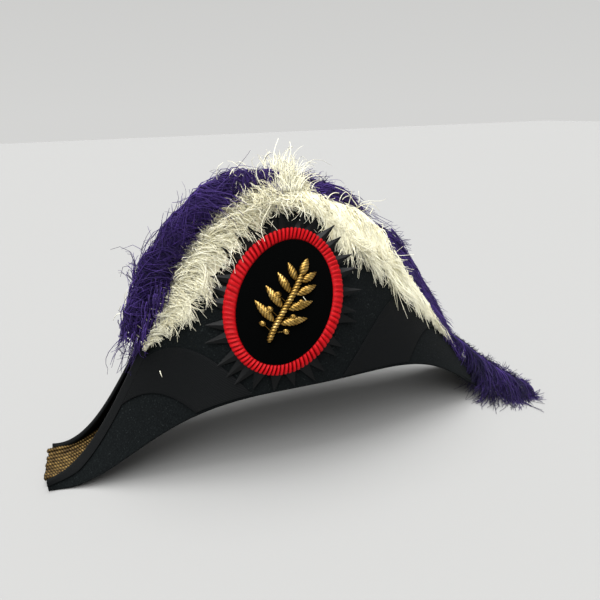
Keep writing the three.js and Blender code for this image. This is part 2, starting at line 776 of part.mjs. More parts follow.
add('near_flap', flapGeometry(NEAR), FELT_BLACK);
add('far_flap', flapGeometry(FAR), FELT_BLACK);
add('crown', crownGeometry(), FELT_BLACK);
add('near_binding', bindingGeometry(NEAR), RIBBON_BLACK);
add('far_binding', bindingGeometry(FAR), RIBBON_BLACK);
for (const band of BANDS) {
  add(band.name, bandGeometry(band), RIBBON_BLACK);
}
add('badge_points', badgePointsGeometry(), RIBBON_BLACK);
add('badge_ring', badgeRingGeometry(), SATIN_RED);
add('badge_field', badgeFieldGeometry(), VELVET_BLACK);
add('badge_sprig', badgeSprigGeometry(), BULLION_GOLD);
add('tip_bullion', tipBullionGeometry(), BULLION_GOLD);
add('white_plume', plumeGeometry(WHITE_PLUME, NEAR), PLUME_WHITE);
add('purple_plume', plumeGeometry(PURPLE_PLUME, FAR), PLUME_PURPLE);
add('purple_tail', purpleTailGeometry(), PLUME_PURPLE);

// Origin: the middle of the box round the hat, on the surface where it rests
const box = new THREE.Box3().setFromObject(hat);
const middle = box.getCenter(new THREE.Vector3());
hat.position.set(-middle.x, -middle.y, -box.min.z);

export default hat;
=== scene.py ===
import bpy
import numpy as np
from mathutils import Matrix, Vector


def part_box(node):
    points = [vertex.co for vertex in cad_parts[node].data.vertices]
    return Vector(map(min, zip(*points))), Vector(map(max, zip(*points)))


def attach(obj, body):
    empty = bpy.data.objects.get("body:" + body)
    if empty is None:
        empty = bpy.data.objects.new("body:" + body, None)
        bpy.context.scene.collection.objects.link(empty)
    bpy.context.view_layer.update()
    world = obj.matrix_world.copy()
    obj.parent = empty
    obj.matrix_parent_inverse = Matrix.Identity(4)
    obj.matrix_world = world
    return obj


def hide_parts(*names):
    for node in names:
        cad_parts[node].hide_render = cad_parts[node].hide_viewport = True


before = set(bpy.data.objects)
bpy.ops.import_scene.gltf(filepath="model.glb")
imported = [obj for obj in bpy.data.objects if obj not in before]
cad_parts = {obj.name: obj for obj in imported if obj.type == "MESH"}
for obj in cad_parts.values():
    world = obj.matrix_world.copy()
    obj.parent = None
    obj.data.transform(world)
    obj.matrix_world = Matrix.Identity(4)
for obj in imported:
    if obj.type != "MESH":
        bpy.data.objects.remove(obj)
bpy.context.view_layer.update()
bpy.ops.object.select_all(action="DESELECT")

# Camera. It looks down on the dressed side from in front of the front tip, as the photograph does.
# Places on the hat are in millimetres from its middle on the table, front tip at -x, dressed side at -y.
MM = 0.001
near_low, near_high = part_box("near_flap")
_, far_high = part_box("far_flap")
HAT_MIDDLE = np.array([(near_low[0] + near_high[0]) / 2, (near_low[1] + far_high[1]) / 2, 0.0])
EYE = np.array([-128.9, -387.3, 267.4])
EYE_YAW, EYE_PITCH, EYE_ROLL = np.radians([19.13, 20.54, -1.64])
IMAGE_PX = 600
FOCAL_PX = 511.3
SENSOR_MM = 36.0


def in_scene(points):
    """Millimetres on the hat to metres in the frame."""
    return np.asarray(points) * MM + HAT_MIDDLE


forward = np.array([
    np.sin(EYE_YAW) * np.cos(EYE_PITCH),
    np.cos(EYE_YAW) * np.cos(EYE_PITCH),
    -np.sin(EYE_PITCH),
])
level = np.array([np.cos(EYE_YAW), -np.sin(EYE_YAW), 0.0])
down = np.cross(forward, level)
right = level * np.cos(EYE_ROLL) - down * np.sin(EYE_ROLL)
up = -(level * np.sin(EYE_ROLL) + down * np.cos(EYE_ROLL))
bpy.ops.object.camera_add()
camera = bpy.context.object
camera.data.sensor_width = SENSOR_MM
camera.data.lens = FOCAL_PX / IMAGE_PX * SENSOR_MM
turn = np.eye(4)
turn[:3] = np.stack([right, up, -forward, in_scene(EYE)], axis=1)
camera.matrix_world = Matrix(turn.tolist())
bpy.context.scene.camera = camera

# Felt flaps. Two sheets of stiffened black felt with a short nap, each turned up from a rounded fold
# and carrying its half of the underside, which is cut away for the head and seamed towards the tips.
NEAR, FAR = -1, 1
TIP_X, APEX_X, REST_LENGTH = 210.0, -4.0, 7.0
ARCH_X, ARCH_RISE, ARCH_POWER = 6.5, 69.5, 1.8
RIDGE_HEIGHT, RIDGE_POWER, TIP_HEIGHT = 207.0, 1.25, 7.0
MID_HALF_WIDTH, TIP_HALF_WIDTH, WIDTH_POWER = 68.0, 27.0, 1.1
RIDGE_HALF_GAP, RIDGE_FLARE, TIP_LEAN = 4.2, 3.4, 2.0
BULGE, BULGE_SPREAD = 14.0, 47.0
FELT, FOLD_SIZE, FOLD_SHARE = 2.2, 3.5, 0.35
FELT_EDGE, EDGE_STEPS, EDGE_ANGLE = 0.5, 2, np.radians(50)
HEAD_HALF_LENGTH, HEAD_HALF_WIDTH, HEAD_POWER, SEAM_HALF_GAP = 105.0, 58.0, 0.5, 0.03
SLOPE_STEP, SLOPE_SHARE = 0.5, 0.01
FELT_COLUMNS, FLOOR_ROWS, FOLD_ROWS, WALL_ROWS = 168, 6, 6, 22
FELT_ROWS = FLOOR_ROWS + FOLD_ROWS + WALL_ROWS
HEAD_FROM, HEAD_TO = 0.25, 0.75


def lerp(a, b, t):
    return a + (b - a) * t


def unit(vectors):
    return vectors / np.linalg.norm(vectors, axis=-1, keepdims=True)


def half_cosine(share, power):
    return 0.5 + 0.5 * np.cos(np.pi * np.minimum(1, share) ** power)


def half_length(x, apex):
    return np.where(x < apex, TIP_X + apex, TIP_X - apex)


def reach(x):
    return np.abs(x - APEX_X) / half_length(x, APEX_X)


def fold_corner(x):
    """y and z of the corner between a flap's wall and its floor."""
    width = np.maximum(0, np.cos(np.pi / 2 * np.minimum(1, reach(x)))) ** WIDTH_POWER
    lift = np.abs(x - ARCH_X) / (half_length(x, ARCH_X) - REST_LENGTH)
    return lerp(TIP_HALF_WIDTH, MID_HALF_WIDTH, width), ARCH_RISE * half_cosine(lift, ARCH_POWER)


def top_edge(x):
    y = lerp(RIDGE_HALF_GAP, TIP_HALF_WIDTH - TIP_LEAN, reach(x) ** RIDGE_FLARE)
    return y, lerp(TIP_HEIGHT, RIDGE_HEIGHT, half_cosine(reach(x), RIDGE_POWER))


def wall_height(x):
    foot_y, foot_z = fold_corner(x)
    top_y, top_z = top_edge(x)
    return np.hypot(top_y - foot_y, top_z - foot_z)


def fold_size(x):
    return np.minimum(FOLD_SIZE, FOLD_SHARE * wall_height(x))


def wall_point(x, s, side):
    """A point on a flap's outer face, from its fold at s = 0 to its top edge at s = 1."""
    x, s = np.broadcast_arrays(np.asarray(x, float), np.asarray(s, float))
    foot_y, foot_z = fold_corner(x)
    top_y, top_z = top_edge(x)
    start = fold_size(x) / wall_height(x)
    q = start + (1 - start) * s
    bulge = BULGE * np.exp(-(((x - APEX_X) / BULGE_SPREAD) ** 2) / 2) * np.sin(np.pi * q)
    return np.stack([x, side * (lerp(foot_y, top_y, q) + bulge), lerp(foot_z, top_z, q)], axis=-1)


def wall_frame(x, s, side):
    """The point with the wall's upward, lengthwise and outward directions there."""
    x, s = np.asarray(x, float), np.asarray(s, float)
    rise = unit(wall_point(x, s + SLOPE_SHARE, side) - wall_point(x, s - SLOPE_SHARE, side))
    along = unit(wall_point(x + SLOPE_STEP, s, side) - wall_point(x - SLOPE_STEP, s, side))
    return wall_point(x, s, side), rise, along, unit(np.cross(along, rise)) * -side


def off_wall(x, s, side, lift):
    point, _, _, out = wall_frame(x, s, side)
    return point + out * np.asarray(lift, float)[..., None]


def new_piece(name, add, **settings):
    """One of Blender's own shapes, alone in the selection."""
    bpy.ops.object.select_all(action="DESELECT")
    add(**settings)
    piece = bpy.context.object
    piece.name = name
    return piece


def corners_of(piece):
    flat = np.empty(3 * len(piece.data.vertices))
    piece.data.vertices.foreach_get("co", flat)
    return flat.reshape(-1, 3)


def set_corners(piece, points):
    """Moves a shape's points to places on the hat."""
    piece.data.vertices.foreach_set("co", in_scene(points).ravel())
    piece.data.update()


def shaped_grid(name, columns, rows, place, flip=False):
    """A flat grid whose points move to place(u, v), with u and v from 0 to 1."""
    piece = new_piece(name, bpy.ops.mesh.primitive_grid_add, x_subdivisions=columns, y_subdivisions=rows,
                      size=2)
    u, v, _ = (corners_of(piece).T + 1) / 2
    if flip:
        piece.data.flip_normals()
    set_corners(piece, place(u, v))
    return piece


def apply_modifier(piece, kind, **settings):
    bpy.context.view_layer.objects.active = piece
    modifier = piece.modifiers.new(kind.title(), kind)
    for name, value in settings.items():
        setattr(modifier, name, value)
    bpy.ops.object.modifier_apply(modifier=modifier.name)


def thicken(piece, thickness, edge):
    """Gives a sheet its thickness inwards and rounds its cut edges."""
    apply_modifier(piece, "SOLIDIFY", thickness=thickness * MM, offset=-1, use_even_offset=True)
    apply_modifier(piece, "BEVEL", width=edge * MM, segments=EDGE_STEPS, limit_method="ANGLE",
                   angle_limit=EDGE_ANGLE)
    for polygon in piece.data.polygons:
        polygon.use_smooth = True


def new_finish(name, colour, roughness, **sockets):
    """A plain material, with its node tree and main shader for what the finish adds."""
    material = bpy.data.materials.new(name)
    material.use_nodes = True
    shader = material.node_tree.nodes["Principled BSDF"]
    shader.inputs["Base Color"].default_value = (*colour, 1)
    shader.inputs["Roughness"].default_value = roughness
    for socket, value in sockets.items():
        shader.inputs[socket.replace("_", " ")].default_value = value
    return material, material.node_tree, shader


def noise(tree, coordinates, scale, detail=2.0):
    node = tree.nodes.new("ShaderNodeTexNoise")
    node.inputs["Scale"].default_value = scale
    node.inputs["Detail"].default_value = detail
    tree.links.new(coordinates, node.inputs["Vector"])
    return node.outputs["Fac"]


def object_coordinates(tree):
    return tree.nodes.new("ShaderNodeTexCoord").outputs["Object"]


def colour_steps(tree, factor, steps):
    """A ramp of (place, colour) steps driven by a factor."""
    ramp = tree.nodes.new("ShaderNodeValToRGB")
    while len(ramp.color_ramp.elements) < len(steps):
        ramp.color_ramp.elements.new(0.5)
    for element, (place, colour) in zip(ramp.color_ramp.elements, steps):
        element.position = place
        element.color = (*colour, 1)
    tree.links.new(factor, ramp.inputs["Fac"])
    return ramp.outputs["Color"]


def coloured(tree, shader, factor, steps):
    tree.links.new(colour_steps(tree, factor, steps), shader.inputs["Base Color"])


def raise_surface(tree, shader, height, distance, strength=1.0):
    bump = tree.nodes.new("ShaderNodeBump")
    bump.inputs["Distance"].default_value = distance
    bump.inputs["Strength"].default_value = strength
    tree.links.new(height, bump.inputs["Height"])
    tree.links.new(bump.outputs["Normal"], shader.inputs["Normal"])


def head_edge(x):
    share = np.maximum(0, np.cos(np.pi / 2 * np.minimum(1, np.abs(x) / HEAD_HALF_LENGTH)))
    return lerp(SEAM_HALF_GAP, HEAD_HALF_WIDTH, share ** HEAD_POWER)


def felt_x(u):
    """x of a column of the felt, with columns close together at the ends of the head opening."""
    front = lerp(-TIP_X, -HEAD_HALF_LENGTH, u / HEAD_FROM)
    rear = lerp(HEAD_HALF_LENGTH, TIP_X, (u - HEAD_TO) / (1 - HEAD_TO))
    middle = -HEAD_HALF_LENGTH * np.cos(np.pi * (u - HEAD_FROM) / (HEAD_TO - HEAD_FROM))
    return np.where(u < HEAD_FROM, front, np.where(u > HEAD_TO, rear, middle))


def felt_place(u, v, side):
    x, row = felt_x(u), v * FELT_ROWS
    foot_y, foot_z = fold_corner(x)
    floor_start = foot_y - fold_size(x)
    floor_y = lerp(head_edge(x), floor_start, np.clip(row / FLOOR_ROWS, 0, 1))
    floor = np.stack([x, side * floor_y, foot_z], axis=-1)
    fold = np.clip((row - FLOOR_ROWS) / FOLD_ROWS, 0, 1)[:, None]
    start = np.stack([x, side * floor_start, foot_z], axis=-1)
    corner = np.stack([x, side * foot_y, foot_z], axis=-1)
    folded = lerp(lerp(start, corner, fold), lerp(corner, wall_point(x, 0, side), fold), fold)
    wall = wall_point(x, np.clip((row - FLOOR_ROWS - FOLD_ROWS) / WALL_ROWS, 0, 1), side)
    row = row[:, None]
    return np.where(row <= FLOOR_ROWS, floor, np.where(row < FLOOR_ROWS + FOLD_ROWS, folded, wall))


felt, felt_tree, felt_shader = new_finish("napped black felt", (0.006, 0.0075, 0.008), 0.95,
                                          Sheen_Weight=0.01, Sheen_Roughness=0.5,
                                          Specular_IOR_Level=0.06)
felt_spot = object_coordinates(felt_tree)
coloured(felt_tree, felt_shader, noise(felt_tree, felt_spot, scale=900, detail=4), [
    (0.40, (0.0030, 0.0040, 0.0044)),
    (0.64, (0.0058, 0.0074, 0.0078)),
    (0.74, (0.0240, 0.0290, 0.0290)),
])
felt_nap = noise(felt_tree, felt_spot, scale=1400, detail=3)
raise_surface(felt_tree, felt_shader, felt_nap, distance=0.0006, strength=0.6)

for side, name, node in [(NEAR, "near_felt", "near_flap"), (FAR, "far_felt", "far_flap")]:
    flap = shaped_grid(name, FELT_COLUMNS, FELT_ROWS, lambda u, v: felt_place(u, v, side), side == FAR)
    thicken(flap, FELT, FELT_EDGE)
    flap.data.materials.append(felt)
    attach(flap, "root")
    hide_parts(node)

# Crown. A soft dome of the same felt over the head, sewn to the edge of the head opening.
# It stands hidden between the flaps and is seen only from below.
CROWN_TOP, CROWN_FELT, CROWN_GAP = 165.0, 2.0, 0.5
CROWN_SEGMENTS, CROWN_RINGS, HALF_BALL = 72, 24, -0.001
TINY = 1e-4


def edit_all(*steps):
    """Runs mesh operators, each with its settings, on the whole of the active piece."""
    bpy.ops.object.mode_set(mode="EDIT")
    bpy.ops.mesh.select_all(action="SELECT")
    for step, settings in steps:
        step(**settings)
    bpy.ops.object.mode_set(mode="OBJECT")


def crown_place(half_ball):
    """Moves the points of a unit half ball to the dome."""
    directions = np.clip(half_ball, [-1, -1, 0], 1)
    spread = np.hypot(directions[:, 0], directions[:, 1])
    angle = np.arctan2(directions[:, 1], directions[:, 0])
    x = (HEAD_HALF_LENGTH - 2 * CROWN_GAP) * np.cos(angle)
    y = np.sign(np.sin(angle)) * np.maximum(0, head_edge(x) - CROWN_GAP)
    y = np.where(np.abs(np.sin(angle)) < TINY, 0, y)
    _, rim_z = fold_corner(x)
    return np.stack([x * spread, y * spread, lerp(rim_z, CROWN_TOP, directions[:, 2])], axis=-1)


crown = new_piece("crown_felt", bpy.ops.mesh.primitive_uv_sphere_add, segments=CROWN_SEGMENTS,
                  ring_count=CROWN_RINGS, radius=1)
edit_all((bpy.ops.mesh.bisect, {"plane_co": (0, 0, HALF_BALL), "plane_no": (0, 0, 1), "clear_inner": True}))
set_corners(crown, crown_place(corners_of(crown)))
thicken(crown, CROWN_FELT, FELT_EDGE)
crown.data.materials.append(felt)
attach(crown, "root")
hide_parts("crown")

# Bindings. A ribbed black ribbon folded over the top edge of each flap and stitched through,
# so that the same width shows outside and inside. Towards the tips it narrows with the felt.
BINDING_WIDTH, BINDING_SHARE, BINDING_CLOTH, BINDING_GAP = 10.0, 0.5, 0.8, 0.6
BINDING_COLUMNS, LEG_ROWS, TURN_ROWS = 150, 3, 6
BINDING_ROWS = 2 * LEG_ROWS + TURN_ROWS
RIBBON_EDGE = 0.15
EDGE_LENGTH = 2 * TIP_X + RIDGE_HEIGHT / 2
RIBS_PER_METRE, WAVE_TEXTURE_RADIANS = 1100, 20


def binding_leg(x):
    return np.minimum(BINDING_WIDTH, BINDING_SHARE * wall_height(x))


def binding_place(u, v, side):
    """The ribbon's outer face: up the outside, round the edge and down the inside."""
    x, row = lerp(-TIP_X, TIP_X, u), v * BINDING_ROWS
    clear = BINDING_GAP + BINDING_CLOTH
    low = 1 - binding_leg(x) / wall_height(x)
    outside = np.clip(row / LEG_ROWS, 0, 1)
    inside = np.clip((row - LEG_ROWS - TURN_ROWS) / LEG_ROWS, 0, 1)
    point, rise, _, _ = wall_frame(x, np.where(row < BINDING_ROWS / 2, lerp(low, 1, outside),
                                               lerp(1, low, inside)), side)
    out = np.stack([0 * x, side * rise[:, 2], -side * rise[:, 1]], axis=-1)
    angle = np.pi * np.clip((row - LEG_ROWS) / TURN_ROWS, 0, 1)[:, None]
    radius = FELT / 2 + clear
    return point + out * (radius * np.cos(angle) - FELT / 2) + rise * radius * np.sin(angle)


black_ribbon, ribbon_tree, ribbon_shader = new_finish("ribbed black ribbon", (0.0038, 0.0044, 0.0048), 0.6,
                                                      Sheen_Weight=0.003, Specular_IOR_Level=0.07)
ribs = ribbon_tree.nodes.new("ShaderNodeTexWave")
ribs.bands_direction = "X"
ribs.inputs["Scale"].default_value = RIBS_PER_METRE * 2 * np.pi / WAVE_TEXTURE_RADIANS
ribs.inputs["Distortion"].default_value = 0.4
ribbon_tree.links.new(ribbon_tree.nodes.new("ShaderNodeUVMap").outputs["UV"], ribs.inputs["Vector"])
raise_surface(ribbon_tree, ribbon_shader, ribs.outputs["Fac"], distance=0.0003, strength=0.5)


def measure_ribs(piece, length):
    """Scales the ribbon's own map to metres along it, so that its ribs keep their pitch."""
    layer = piece.data.uv_layers.active.data
    spots = np.empty(2 * len(layer))
    layer.foreach_get("uv", spots)
    layer.foreach_set("uv", (spots.reshape(-1, 2) * length * MM).ravel())


for side, name, node in [(NEAR, "near_edge_ribbon", "near_binding"), (FAR, "far_edge_ribbon", "far_binding")]:
    binding = shaped_grid(name, BINDING_COLUMNS, BINDING_ROWS, lambda u, v: binding_place(u, v, side),
                          side == FAR)
    measure_ribs(binding, EDGE_LENGTH)
    thicken(binding, BINDING_CLOTH, RIBBON_EDGE)
    binding.data.materials.append(black_ribbon)
    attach(binding, "root")
    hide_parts(node)

# Bands. Two lengths of the ribbed ribbon laid slantwise up the dressed side, from the fold to the
# binding, narrower at the top where the ribbon is drawn in, with their sides pressed flat.
GAP, BAND_CLOTH, BAND_CLEAR = 0.35, 1.0, 1.5
BAND_COLUMNS, BAND_ROWS = 48, 14
BANDS = [
    {"name": "front_ribbon", "node": "front_band", "outer_foot": -97, "inner_foot": -56,
     "outer_top": -148, "inner_top": -127},
    {"name": "rear_ribbon", "node": "rear_band", "outer_foot": 78, "inner_foot": 15,
     "outer_top": 140, "inner_top": 118},
]


def band_place(u, v, band):
    """u runs up the band and v across it."""
    foot = lerp(band["outer_foot"], band["inner_foot"], v)
    top = lerp(band["outer_top"], band["inner_top"], v)
    top_share = 1 - (binding_leg(top) + BAND_CLEAR) / wall_height(top)
    return off_wall(lerp(foot, top, u), u * top_share, NEAR, np.full_like(u, GAP + BAND_CLOTH))


for band in BANDS:
    ribbon = shaped_grid(band["name"], BAND_COLUMNS, BAND_ROWS, lambda u, v: band_place(u, v, band),
                         band["outer_foot"] < 0)
    ends = in_scene(band_place(np.array([0.0, 1.0]), np.full(2, 0.5), band))
    band_length = float(np.linalg.norm(ends[1] - ends[0]))
    measure_ribs(ribbon, band_length / MM)
    thicken(ribbon, BAND_CLOTH, RIBBON_EDGE)
    ribbon.data.materials.append(black_ribbon)
    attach(ribbon, "root")
    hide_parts(band["node"])

# Rosette points. Short ends of black ribbon, each folded to a point with a crease down its middle,
# set side by side round the back of the rosette and showing as a ring of spikes outside it.
BADGE_X, BADGE_RISE, BADGE_TILT = -23.0, 67.5, np.radians(26)
RING_ACROSS, RING_ALONG, RING_WIDTH = 41.5, 58.0, 8.8
POINT_COUNT, POINT_REACH, POINT_ROOT, POINT_HALF_WIDTH = 29, 15.5, 6.0, 6.2
POINT_CREASE, POINT_CLOTH, POINT_SWELL, POINT_CUTS = 2.6, 1.1, 0.3, 2
POINT_TIP_LIFT, POINT_PLUME_LIFT, POINT_PLUME_REACH = 1.6, 8.5, 0.72
PLUME_FROM, PLUME_SLOPE = 0.2, 1.6
POINT_SCATTER, POINT_REACHES, POINT_LEAN, POINT_CREASES = 0.28, (0.72, 1.10), 2.6, (0.5, 1.3)
POINTS_LIFT = 2 * GAP
RING_LIFT = POINTS_LIFT + 2 * POINT_CLOTH + GAP
WELD = 1e-6
seeded = np.random.default_rng(5)


def badge_point(across, along, lift):
    """A place on the rosette's own tilted oval plane, laid on the curved flap."""
    x = BADGE_X + across * np.cos(BADGE_TILT) + along * np.sin(BADGE_TILT)
    rise = BADGE_RISE - across * np.sin(BADGE_TILT) + along * np.cos(BADGE_TILT)
    drop = fold_corner(np.float64(BADGE_X))[1] - fold_corner(x)[1]
    return off_wall(x, (rise + drop) / wall_height(x), NEAR, lift)


def joined(pieces, name):
    bpy.ops.object.select_all(action="DESELECT")
    for piece in pieces:
        piece.select_set(True)
    bpy.context.view_layer.objects.active = pieces[0]
    if len(pieces) > 1:
        bpy.ops.object.join()
    pieces[0].name = name
    return pieces[0]


def smooth_closed(piece, angle):
    """Turns the faces of a closed shape outwards and smooths its gentle edges."""
    bpy.ops.object.select_all(action="DESELECT")
    piece.select_set(True)
    bpy.context.view_layer.objects.active = piece
    edit_all((bpy.ops.mesh.remove_doubles, {"threshold": WELD}),
             (bpy.ops.mesh.normals_make_consistent, {"inside": False}))
    bpy.ops.object.shade_smooth_by_angle(angle=np.radians(angle))


def point_place(corners, angle, reach_out, lean, crease):
    """A four-sided cone laid down: its tip points outwards and its top corner makes the crease."""
    tipward = (corners[:, 2] + 1) / 2
    sideways, upward = corners[:, 0], corners[:, 1]
    under_plume = np.clip(PLUME_SLOPE * np.sin(angle) + PLUME_FROM, 0, 1)
    outward = lerp(-POINT_ROOT, reach_out * lerp(1, POINT_PLUME_REACH, under_plume), tipward)
    middle = np.array([[RING_ACROSS * np.cos(angle)], [RING_ALONG * np.sin(angle)]])
    normal = unit(np.array([np.cos(angle) / RING_ACROSS, np.sin(angle) / RING_ALONG]))
    tangent = np.array([-normal[1], normal[0]])
    aside = sideways * POINT_HALF_WIDTH + lean * tipward
    across, along = middle + normal[:, None] * outward + tangent[:, None] * aside
    fold = np.where(upward > 0, upward * crease, 0) + POINT_CLOTH * (1 - np.abs(sideways)) * POINT_SWELL
    tip_lift = lerp(POINT_TIP_LIFT, POINT_PLUME_LIFT, under_plume)
    return badge_point(across, along, POINTS_LIFT + POINT_CLOTH / 2 + fold + tip_lift * tipward ** 2)


point_ribbon, _, _ = new_finish("crisp black ribbon", (0.0026, 0.003, 0.0033), 0.38, Specular_IOR_Level=0.13)
points = []
for i in range(POINT_COUNT):
    spike = new_piece("point", bpy.ops.mesh.primitive_cone_add, vertices=4, radius1=1, radius2=0.05, depth=2)
    edit_all((bpy.ops.mesh.subdivide, {"number_cuts": POINT_CUTS}))
    angle = 2 * np.pi * (i + seeded.uniform(-POINT_SCATTER, POINT_SCATTER)) / POINT_COUNT
    reach_out = POINT_REACH * seeded.uniform(*POINT_REACHES)
    lean = seeded.normal(0, POINT_LEAN)
    crease = POINT_CREASE * seeded.uniform(*POINT_CREASES)
    set_corners(spike, point_place(corners_of(spike), angle, reach_out, lean, crease))
    points.append(spike)
rosette_points = joined(points, "rosette_points")
smooth_closed(rosette_points, angle=24)
rosette_points.data.materials.append(point_ribbon)
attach(rosette_points, "root")
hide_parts("badge_points")

# Rosette ring. A narrow red ribbon laid round in an oval in fine knife pleats, all turned the same way,
# stitched down along both edges so that it swells between them.
RING_HEIGHT, PLEAT_COUNT, PLEAT_STEPS, RING_SIDES = 3.6, 86, 8, 16
PLEAT_DEPTH, PLEAT_GROOVE, GROOVE_FLOOR, GROOVE_WALL = 2.1, 0.875, 0.4, 1.5
PLEAT_SLOPE, PLEAT_SLANT, PLEAT_SHIFT, PLEAT_WAVE = 0.2, 0.5, 0.12, 0.45
PLEAT_HEIGHTS, RING_ROUND = (0.82, 1.08), 0.7

red_ribbon, red_tree, red_shader = new_finish("pleated red ribbon", (0.46, 0.004, 0.008), 0.55,
                                              Specular_IOR_Level=0.12)


def set_tone(piece, values):
    """Gives each point of a piece a lightness, which its finish reads."""
    tone = piece.data.attributes.new("tone", "FLOAT", "POINT")
    tone.data.foreach_set("value", np.asarray(values, np.float32))


def tone_factor(tree):
    tone = tree.nodes.new("ShaderNodeAttribute")
    tone.attribute_name = "tone"
    return tone.outputs["Fac"]


# Painted shade: the red runs to near black in the grooves between the pleats and grows lighter up the face of
# each pleat, read from the tone each point takes from its fold.
coloured(red_tree, red_shader, tone_factor(red_tree), [
    (0.0, (0.030, 0.0002, 0.0005)),
    (0.5, (0.330, 0.0018, 0.0040)),
    (1.0, (0.520, 0.0035, 0.0080)),
])
red_weave = noise(red_tree, object_coordinates(red_tree), scale=2600)
raise_surface(red_tree, red_shader, red_weave, distance=0.0003, strength=0.5)
pleat_height = seeded.uniform(*PLEAT_HEIGHTS, PLEAT_COUNT)
pleat_shift = seeded.uniform(-PLEAT_SHIFT, PLEAT_SHIFT, PLEAT_COUNT)


def pleats_round(torus):
    """Place round the ring, counted in pleats."""
    return (np.arctan2(torus[:, 1], torus[:, 0]) / (2 * np.pi)) % 1 * PLEAT_COUNT


def pleat_fold(around):
    """How far a place stands out of the groove between two pleats, from 0 to 1."""
    phase = around - np.floor(around + TINY)
    groove = np.abs((phase - PLEAT_GROOVE + 0.5) % 1 - 0.5) * PLEAT_STEPS
    return np.clip((groove - GROOVE_FLOOR) / GROOVE_WALL, 0, 1) * (1 - PLEAT_SLOPE + PLEAT_SLOPE * phase)


def ring_place(torus):
    """A ring whose tube is flattened below and pleated above."""
    around = pleats_round(torus)
    tube = np.arctan2(torus[:, 2], np.hypot(torus[:, 0], torus[:, 1]) - 1)
    pleat = np.floor(around + TINY).astype(int) % PLEAT_COUNT
    fold = pleat_fold(around)
    swell = np.maximum(0, np.sin(tube)) ** RING_ROUND
    height = RING_HEIGHT * pleat_height[pleat] - PLEAT_DEPTH * (1 - fold)
    inward = RING_WIDTH * (0.5 - 0.5 * np.cos(tube))
    slant = 2 * np.pi * (around + (PLEAT_SLANT + pleat_shift[pleat]) * inward / RING_WIDTH) / PLEAT_COUNT
    wave = PLEAT_WAVE * (fold - 0.5) * np.abs(np.cos(tube))
    across = (RING_ACROSS - inward + wave) * np.cos(slant)
    along = (RING_ALONG - inward + wave) * np.sin(slant)
    return badge_point(across, along, RING_LIFT + height * swell)


rosette_ring = new_piece("rosette_ring", bpy.ops.mesh.primitive_torus_add, major_radius=1, minor_radius=0.2,
                         major_segments=PLEAT_COUNT * PLEAT_STEPS, minor_segments=RING_SIDES)
# Each point's tone is its pleat fold, which the red finish turns into painted shade in the grooves.
set_tone(rosette_ring, pleat_fold(pleats_round(corners_of(rosette_ring))))
set_corners(rosette_ring, ring_place(corners_of(rosette_ring)))
smooth_closed(rosette_ring, angle=50)
rosette_ring.data.materials.append(red_ribbon)
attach(rosette_ring, "root")
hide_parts("badge_ring")

# Rosette field. An oval of black velvet over a thin pad, inside the pleated ring.
# Its pile drinks the light, so that it looks blacker than the felt.
FIELD_EDGE, FIELD_CROWN, FIELD_UNDER, FIELD_GAP = 1.4, 1.6, 0.3, 0.1
FIELD_SEGMENTS, FIELD_RINGS = 72, 24
FIELD_ACROSS, FIELD_ALONG = RING_ACROSS - RING_WIDTH - FIELD_GAP, RING_ALONG - RING_WIDTH - FIELD_GAP

velvet, velvet_tree, velvet_shader = new_finish("black velvet", (0.0009, 0.0011, 0.0011), 1.0,
                                                Sheen_Weight=0.002, Sheen_Roughness=0.35,
                                                Specular_IOR_Level=0.02)
velvet_pile = noise(velvet_tree, object_coordinates(velvet_tree), scale=1800, detail=3)
raise_surface(velvet_tree, velvet_shader, velvet_pile, distance=0.0005)


def field_lift(share):
    return RING_LIFT + FIELD_EDGE + FIELD_CROWN * (1 - share * share)


def field_place(ball):
    share = np.hypot(ball[:, 0], ball[:, 1])
    lift = np.where(ball[:, 2] > -0.01, field_lift(share), RING_LIFT + FIELD_UNDER)
    return badge_point(ball[:, 0] * FIELD_ACROSS, ball[:, 1] * FIELD_ALONG, lift)


rosette_field = new_piece("rosette_field", bpy.ops.mesh.primitive_uv_sphere_add, segments=FIELD_SEGMENTS,
                          ring_count=FIELD_RINGS, radius=1)
set_corners(rosette_field, field_place(corners_of(rosette_field)))
smooth_closed(rosette_field, angle=60)
rosette_field.data.materials.append(velvet)
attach(rosette_field, "root")
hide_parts("badge_field")

# Gold sprig. A stem with paired leaves and berries, embroidered on the velvet in coiled gilt wire:
# short lengths of the coil lie side by side over a pad, so that the surface is ribbed slantwise.
SPRIG_GAP, STEM_FOOT, STEM_TOP, STEM_RADIUS, STEM_BEND = 0.4, -32.0, 24.0, 1.9, 3.0
COIL_PITCH, COIL_DEPTH, COIL_STEPS, COIL_STARTS = 2.5, 0.7, 10, 2
LEAF_HEIGHT, LEAF_COLUMNS = 2.4, 20
LEAVES = [
    {"along": -16, "length": 20, "width": 6.6, "turn": 58},
    {"along": -4, "length": 19, "width": 6.4, "turn": 52},
    {"along": 8, "length": 17, "width": 6.0, "turn": 46},
    {"along": 18, "length": 14, "width": 5.6, "turn": 38},
]
TOP_LEAF = {"along": 22, "length": 15, "width": 6.2, "turn": 6}
BERRY_RADIUS, STALK_LENGTH, STALK_RADIUS, STALK_TURN = 2.2, 7.0, 0.55, 64
STEM_SIDES, STALK_SIDES, STALK_ROWS, BERRY_SIDES, BERRY_ROWS = 14, 8, 6, 14, 24

gold, gold_tree, gold_shader = new_finish("dulled gilt wire", (0.46, 0.30, 0.10), 0.38, Metallic=0.9)


